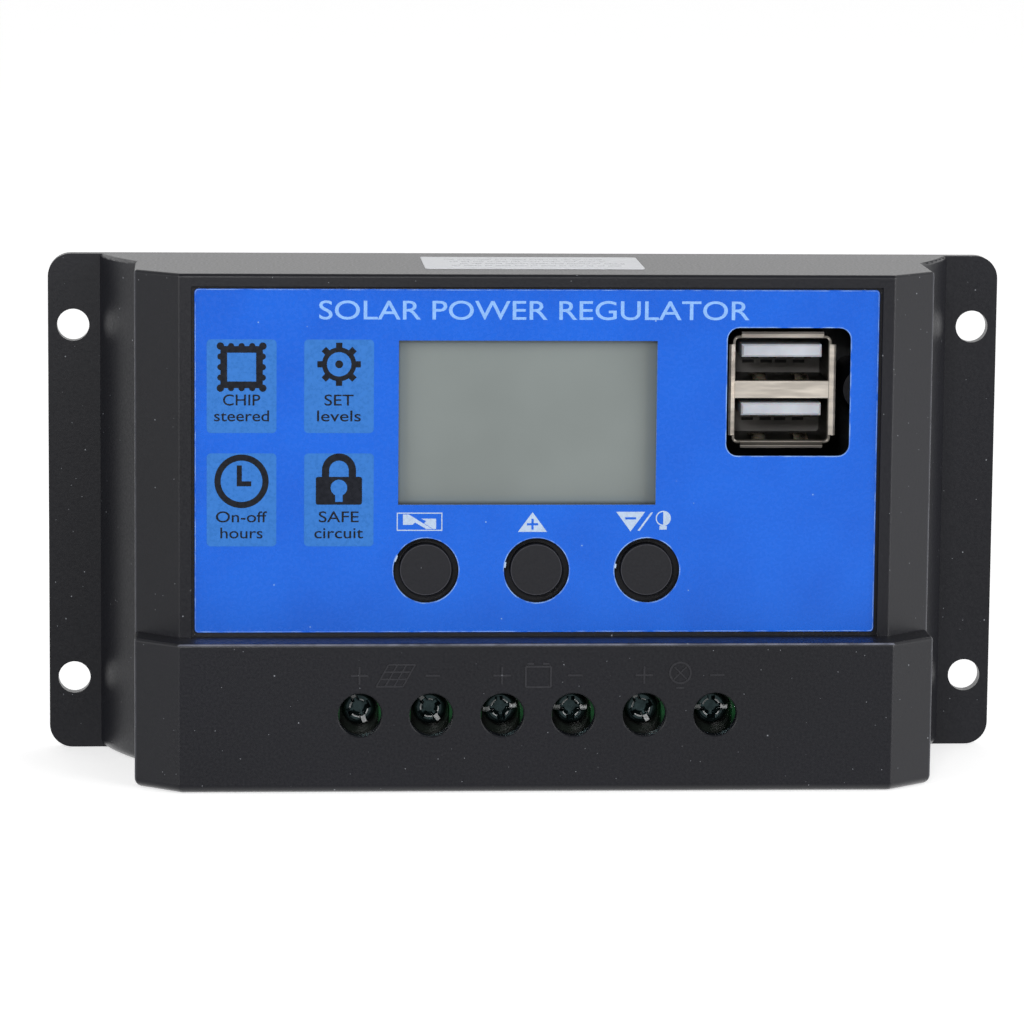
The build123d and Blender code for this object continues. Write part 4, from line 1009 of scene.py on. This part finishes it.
class CONTROLLER_OT_buttons(bpy.types.Operator):
    """Finish the button caps and their switches, and add a painted highlight ring on the rim of each cap."""

    bl_idname = "controller.buttons"
    bl_label = "Buttons"

    def execute(self, context):
        case = context.scene.controller_case
        cap = moulded_abs("button_abs_black", case.plastic, case.dust, 0.46, 0.3, 0.15)
        nylon = moulded_insulator("switch_nylon_black", linear("#202022"))
        tin = plated_metal("tinned_legs", context.scene.controller_metal.tin, 0.3)
        # Painted highlight: a pale ring on each cap's edge
        rim = moulded_abs("button_abs_rim_highlight", linear("#3d3d43"), case.dust, 0.34, 0.3, 0.0)
        for number, x in zip((1, 2, 3), BUTTON_XS):
            paint(cap, f"button_cap_{number}")
            paint(nylon, f"switch_base_{number}", f"switch_plunger_{number}")
            bm = bmesh.new()
            face = upright(x, BUTTON_Z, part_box(f"button_cap_{number}")[0].y)
            ring = add_ring(bm, 3.47 * MM, 3.38 * MM, face, 72)
            extrude_flat(bm, ring, INK_THICKNESS)
            finish_piece(bm, f"button_rim_highlight_{number}", rim, f"button_{number}")
        paint(tin, "switch_legs")
        return {"FINISHED"}


class CONTROLLER_OT_usb(bpy.types.Operator):
    """Finish the twin USB socket and add the retaining springs in its ports."""

    bl_idname = "controller.usb"
    bl_label = "USB socket"

    def execute(self, context):
        metal = context.scene.controller_metal
        paint(socket_nickel("nickel_plated_sheet", metal.socket, linear("#26241f")), "usb_shell")
        # Painted light: the insulator is black PBT, painted grey so that it shows as lit inside the dark port
        paint(moulded_insulator("pbt_black_painted_light", linear("#7f7c79"), 0.5), "usb_insulator")
        slot_shadow_ink = moulded_insulator("contact_slot_shadow", linear("#070708"), 0.6)
        paint(moulded_insulator("pbt_pale_blue", linear("#c4c8d0"), 0.35, 1.57, 0.25), "usb_tongues")
        paint(plated_metal("gold_flash_tarnished", linear("#2c261b"), 0.4), "usb_contacts")
        spring_metal = plated_metal("phosphor_bronze", linear("#dccfb6"), 0.24)
        middle = (USB_LOW + USB_HIGH) / 2
        bm = bmesh.new()
        for floor_z in (middle.z + 1.15 * MM, middle.z - 7.05 * MM):
            for side in (-1, 1):
                self.add_spring(bm, middle.x + side * 2.9 * MM, floor_z)
        finish_piece(bm, "usb_springs", spring_metal)
        # Painted shadow: dark patches where the contacts leave the insulator, low enough to be seen under
        # each tongue
        bm = bmesh.new()
        faces = []
        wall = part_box("usb_insulator")[0].y
        for underside in (TONGUE_HIGH.z - 1.7 * MM, TONGUE_LOW.z):
            for x in (-3.5, -1.0, 1.0, 3.5):
                faces += add_rectangle(
                    bm, 1.6 * MM, 0.42 * MM, upright(middle.x + x * MM, underside - 1.72 * MM, wall),
                )
        extrude_flat(bm, faces, INK_THICKNESS)
        finish_piece(bm, "usb_contact_slot_shadows", slot_shadow_ink)
        return {"FINISHED"}

    def add_spring(self, bm, x, floor_z):
        """A leaf that bows up from the port's floor and runs back into the socket."""
        width, sheet, front = 1.9 * MM, 0.22 * MM, TONGUE_LOW.y + 0.9 * MM
        profile = [(0.0, 0.05), (0.7, 0.55), (1.6, 0.75), (3.2, 0.45), (6.5, 0.06)]
        verts = [bm.verts.new((x - width / 2, front + y * MM, floor_z + z * MM)) for y, z in profile]
        edges = [bm.edges.new(pair) for pair in zip(verts, verts[1:])]
        swept = bmesh.ops.extrude_edge_only(bm, edges=edges)["geom"]
        moved = [item for item in swept if isinstance(item, bmesh.types.BMVert)]
        bmesh.ops.translate(bm, verts=moved, vec=(width, 0, 0))
        faces = [f for f in swept if isinstance(f, bmesh.types.BMFace)]
        bmesh.ops.solidify(bm, geom=faces, thickness=sheet)


class CONTROLLER_OT_terminals(bpy.types.Operator):
    """Finish the terminal block, its bars, clamps and screws, and add painted highlights on the edges of the
    screws' recesses.
    """

    bl_idname = "controller.terminals"
    bl_label = "Terminals"

    def execute(self, context):
        metal = context.scene.controller_metal
        paint(terminal_nylon("terminal_nylon_green", linear("#165a2d")), "terminal_housing")
        paint(plated_metal("tinned_bar", metal.tin, 0.3), "terminal_bars")
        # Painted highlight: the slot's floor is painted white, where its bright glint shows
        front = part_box("terminal_screw_1")[0].y
        painted_glint = (front + 0.86 * MM, front + 0.89 * MM, linear("#f8fafa"))
        screw = passivated_head("passivated_zinc_dark", metal.screw, painted_glint)
        clamp = plated_metal("nickel_clamp", linear("#b9b7b0"), 0.32)
        glint = painted_highlight_zinc("painted_glint_zinc", linear("#f2f5f5"))
        for number, turn in zip(range(1, 7), SLOT_TURNS):
            paint(screw, f"terminal_screw_{number}")
            paint(clamp, f"terminal_clamp_{number}")
            self.add_glints(number, turn, glint)
        return {"FINISHED"}

    def add_glints(self, number, turn, glint):
        """Painted highlights on the edge of the recess, between the arms of its cross."""
        low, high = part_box(f"terminal_screw_{number}")
        bm = bmesh.new()
        faces = []
        centre = upright((low.x + high.x) / 2, (low.z + high.z) / 2, low.y, math.radians(turn))
        for quarter, spread in zip((45, 135, 225, 315), (20, 26, 17, 14)):
            band = self.arc_band(bm, 1.12 * MM, 1.30 * MM, math.radians(quarter), math.radians(spread))
            bmesh.ops.transform(bm, matrix=centre, verts=corners(band))
            faces += band
        extrude_flat(bm, faces, INK_THICKNESS)
        finish_piece(bm, f"terminal_screw_glints_{number}", glint, f"screw_{number}")

    def arc_band(self, bm, inner, outer, middle, spread):
        """A flat curved band, spun from one line about the head's axis."""
        start = middle - spread
        line = [bm.verts.new((r * math.cos(start), r * math.sin(start), 0.0)) for r in (inner, outer)]
        edge = bm.edges.new(line)
        before = set(bm.faces)
        bmesh.ops.spin(bm, geom=[*line, edge], cent=(0, 0, 0), axis=(0, 0, 1), angle=2 * spread, steps=8)
        return [face for face in bm.faces if face not in before]


class CONTROLLER_OT_back(bpy.types.Operator):
    """Finish the back plate and its screws."""

    bl_idname = "controller.back"
    bl_label = "Back plate"

    def execute(self, context):
        metal = context.scene.controller_metal
        paint(rolled_aluminium("mill_finish_aluminium", metal.plate), "back_plate")
        paint(plated_metal("zinc_plated_screw", linear("#b5b6b4"), 0.28, 0.15, (6.0, 6.0, 6.0)),
              "back_screws", "board_screws")
        return {"FINISHED"}


class CONTROLLER_OT_board(bpy.types.Operator):
    """Finish the circuit board and everything soldered to it."""

    bl_idname = "controller.board"
    bl_label = "Circuit board"

    def execute(self, context):
        metal = context.scene.controller_metal
        epoxy = moulded_insulator("moulded_epoxy_black", linear("#1b1b1d"), 0.5)
        tin = plated_metal("tinned_lead", metal.tin, 0.3)
        paint(circuit_laminate("solder_masked_laminate"), "main_board")
        paint(moulded_insulator("filled_silicone_pad", linear("#8f9aa3"), 0.7, 1.43), "thermal_pad")
        paint(epoxy, "transistor_bodies", "microcontroller", "driver_chips", "diodes")
        paint(tin, "transistor_tabs", "transistor_legs")
        paint(moulded_insulator("sleeved_can_black", linear("#0c0d11"), 0.35), "capacitors")
        paint(moulded_insulator("sintered_ferrite", linear("#34353a"), 0.6, 2.2), "inductor_core")
        paint(wound_copper("enamelled_copper"), "inductor_winding")
        paint(plated_metal("resistance_alloy", linear("#a08a78"), 0.35), "shunt_strip")
        paint(moulded_insulator("glazed_ceramic", linear("#242528"), 0.25, 1.7), "chip_resistors")
        return {"FINISHED"}


class CONTROLLER_OT_sticker(bpy.types.Operator):
    """Finish the white sticker on the top face and print its rows of plain bars."""

    bl_idname = "controller.sticker"
    bl_label = "Top sticker"

    def execute(self, context):
        paint(coated_paper("white_vinyl", linear("#eceef2")), "rating_label")
        low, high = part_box("rating_label")
        rows, pitch, bar = 4, 2.9 * MM, 0.75 * MM
        rng = random.Random(SEED)
        bm = bmesh.new()
        faces = []
        for row in range(rows):
            y = (low.y + high.y) / 2 + (row - (rows - 1) / 2) * pitch
            x = low.x + (3.0 + 2.5 * rng.random()) * MM
            while x < high.x - 4.5 * MM:
                length = (0.8 + 2.4 * rng.random()) * MM
                place = Matrix.Translation((x + length / 2, y, STICKER_FACE))
                faces += add_rectangle(bm, length, bar, place)
                x += length + 0.5 * MM
        extrude_flat(bm, faces, INK_THICKNESS, (0.0, 0.0, 1.0))
        finish_piece(bm, "sticker_bars", screen_ink("thermal_print_grey", linear("#9da0a6")))
        return {"FINISHED"}


class CONTROLLER_OT_stage(bpy.types.Operator):
    """Add the floor, the lights and the camera."""

    bl_idname = "controller.stage"
    bl_label = "Stage"

    def add_softbox(self, name, place, size, watts):
        """An area light that faces the object."""
        light = bpy.data.lights.new(name, "AREA")
        light.shape = "RECTANGLE"
        light.size, light.size_y = size
        light.energy = watts
        lamp = bpy.data.objects.new(name, light)
        bpy.context.scene.collection.objects.link(lamp)
        lamp.location = place
        lamp.rotation_euler = (-Vector(place)).to_track_quat("-Z", "Y").to_euler()

    def add_floor(self, settings):
        """A pale sheet under the object."""
        bm = bmesh.new()
        bmesh.ops.create_grid(bm, x_segments=8, y_segments=8, size=settings.floor_size / 2,
                              matrix=Matrix.Translation((0, 0, GROUND)))
        mesh = bpy.data.meshes.new("floor")
        bm.to_mesh(mesh)
        bm.free()
        floor = bpy.data.objects.new("floor", mesh)
        bpy.context.scene.collection.objects.link(floor)
        # Matt white acrylic sheet lit from below, as on a product table
        material, tree, place = start_material("backlit_acrylic_floor")
        tooth = add_node(tree, "ShaderNodeTexNoise", {"Vector": place, "Scale": per(4.0), "Detail": 3.0})
        tone = between(
            tree, tooth.outputs["Fac"], shade(settings.floor, 0.99), shade(settings.floor, 1.01), 0.4, 0.6,
        )
        # From below the sheet is clear, so that the wire entries can be looked into
        beneath = add_node(tree, "ShaderNodeNewGeometry").outputs["Backfacing"]
        shown = add_node(tree, "ShaderNodeMath", {0: 1.0, 1: beneath}, operation="SUBTRACT")
        close_material(tree, Base_Color=tone, Roughness=0.9, Emission_Color=(1.0, 1.0, 1.0, 1.0),
                       Emission_Strength=settings.glow, Alpha=shown.outputs[0])
        # The room below the horizon lights the object in place of the sheet
        floor.visible_diffuse = False
        floor.visible_glossy = False
        mesh.materials.append(material)

    def add_world(self):
        """A white tent over a lit table, dimmer overhead, with its dark opening in front."""
        world = bpy.data.worlds.new("studio")
        world.use_nodes = True
        tree = world.node_tree
        tree.nodes.clear()
        way = add_node(tree, "ShaderNodeTexCoord").outputs["Generated"]
        spot = add_node(tree, "ShaderNodeSeparateXYZ", {"Vector": way})
        front = remap(tree, spot.outputs["Y"], -0.35, -0.9, 0.0, 1.0)
        aside = remap(tree, spot.outputs["X"], -0.05, 0.45, 0.21, 0.52)
        back = remap(tree, spot.outputs["Y"], 0.25, 0.75, 0.0, 1.0)
        wing = remap(tree, spot.outputs["X"], -0.7, 0.7, 0.42, 0.80)
        rear = add_node(tree, "ShaderNodeMix", {"Factor": back, "A": wing, "B": 1.35}, data_type="FLOAT")
        ring = add_node(tree, "ShaderNodeMix", {
            "Factor": front, "A": rear.outputs["Result"], "B": aside,
        }, data_type="FLOAT")
        lid = remap(tree, spot.outputs["Z"], 0.25, 0.85, 1.0, 0.40)
        table = remap(tree, spot.outputs["Z"], -0.40, -0.85, 1.0, 1.8)
        span = add_node(tree, "ShaderNodeMath", {0: lid, 1: table}, operation="MULTIPLY")
        level = add_node(tree, "ShaderNodeMath", {
            0: ring.outputs["Result"], 1: span.outputs[0],
        }, operation="MULTIPLY")
        tent = add_node(tree, "ShaderNodeBackground", {
            "Color": (1.0, 1.0, 1.0, 1.0), "Strength": level.outputs[0],
        })
        add_node(tree, "ShaderNodeOutputWorld", {"Surface": tent.outputs["Background"]})
        bpy.context.scene.world = world

    def add_camera(self, settings):
        """A long lens above and to the left of the front."""
        data = bpy.data.cameras.new("camera")
        data.sensor_width = 36.0
        data.lens = settings.lens
        data.clip_start, data.clip_end = 0.01, 50.0
        camera = bpy.data.objects.new("camera", data)
        bpy.context.scene.collection.objects.link(camera)
        turn = Matrix.Rotation(math.radians(-3.67), 4, "Z")
        dip = Matrix.Rotation(math.radians(-8.52), 4, "X")
        roll = Matrix.Rotation(math.radians(-0.52), 4, "Y")
        look_level = Matrix.Rotation(math.pi / 2, 4, "X")
        place = Matrix.Translation((-0.04545, -0.68588, 0.10119))
        camera.matrix_world = place @ turn @ dip @ roll @ look_level
        bpy.context.scene.camera = camera

    def execute(self, context):
        settings = context.scene.controller_stage
        self.add_floor(settings)
        self.add_world()
        for name, place, size, watts in (
            ("left_softbox", (-1.0, -0.75, 0.35), (0.8, 0.9), settings.left_watts),
            ("right_softbox", (1.0, -0.75, 0.35), (0.8, 0.9), settings.right_watts),
            ("fill_lamp", (-0.12, -0.72, 0.24), (0.10, 0.10), settings.fill_watts),
        ):
            self.add_softbox(name, place, size, watts)
        self.add_camera(settings)
        context.scene.view_settings.view_transform = "Standard"
        return {"FINISHED"}


class CONTROLLER_PT_panel(bpy.types.Panel):
    """Lists the pieces and the stage in the sidebar."""

    bl_idname = "CONTROLLER_PT_panel"
    bl_label = "Solar charge controller"
    bl_space_type = "VIEW_3D"
    bl_region_type = "UI"
    bl_category = "Controller"

    def draw(self, context):
        for operator in OPERATORS:
            self.layout.operator(operator.bl_idname)


SETTINGS = {
    "controller_case": CaseSettings,
    "controller_label": LabelSettings,
    "controller_display": DisplaySettings,
    "controller_metal": MetalSettings,
    "controller_stage": StageSettings,
}
OPERATORS = (
    CONTROLLER_OT_case, CONTROLLER_OT_label, CONTROLLER_OT_display, CONTROLLER_OT_buttons,
    CONTROLLER_OT_usb, CONTROLLER_OT_terminals, CONTROLLER_OT_back, CONTROLLER_OT_board,
    CONTROLLER_OT_sticker, CONTROLLER_OT_stage,
)


def register():
    """Registers the settings, the operators and the panel."""
    for name, group in SETTINGS.items():
        bpy.utils.register_class(group)
        setattr(bpy.types.Scene, name, bpy.props.PointerProperty(type=group))
    for operator in OPERATORS:
        bpy.utils.register_class(operator)
    bpy.utils.register_class(CONTROLLER_PT_panel)


def unregister():
    """Removes the panel, the operators and the settings."""
    bpy.utils.unregister_class(CONTROLLER_PT_panel)
    for operator in reversed(OPERATORS):
        bpy.utils.unregister_class(operator)
    for name, group in SETTINGS.items():
        delattr(bpy.types.Scene, name)
        bpy.utils.unregister_class(group)


def main():
    register()
    for operator in OPERATORS:
        group, action = operator.bl_idname.split(".")
        getattr(getattr(bpy.ops, group), action)()


if __name__ == "__main__":
    main()
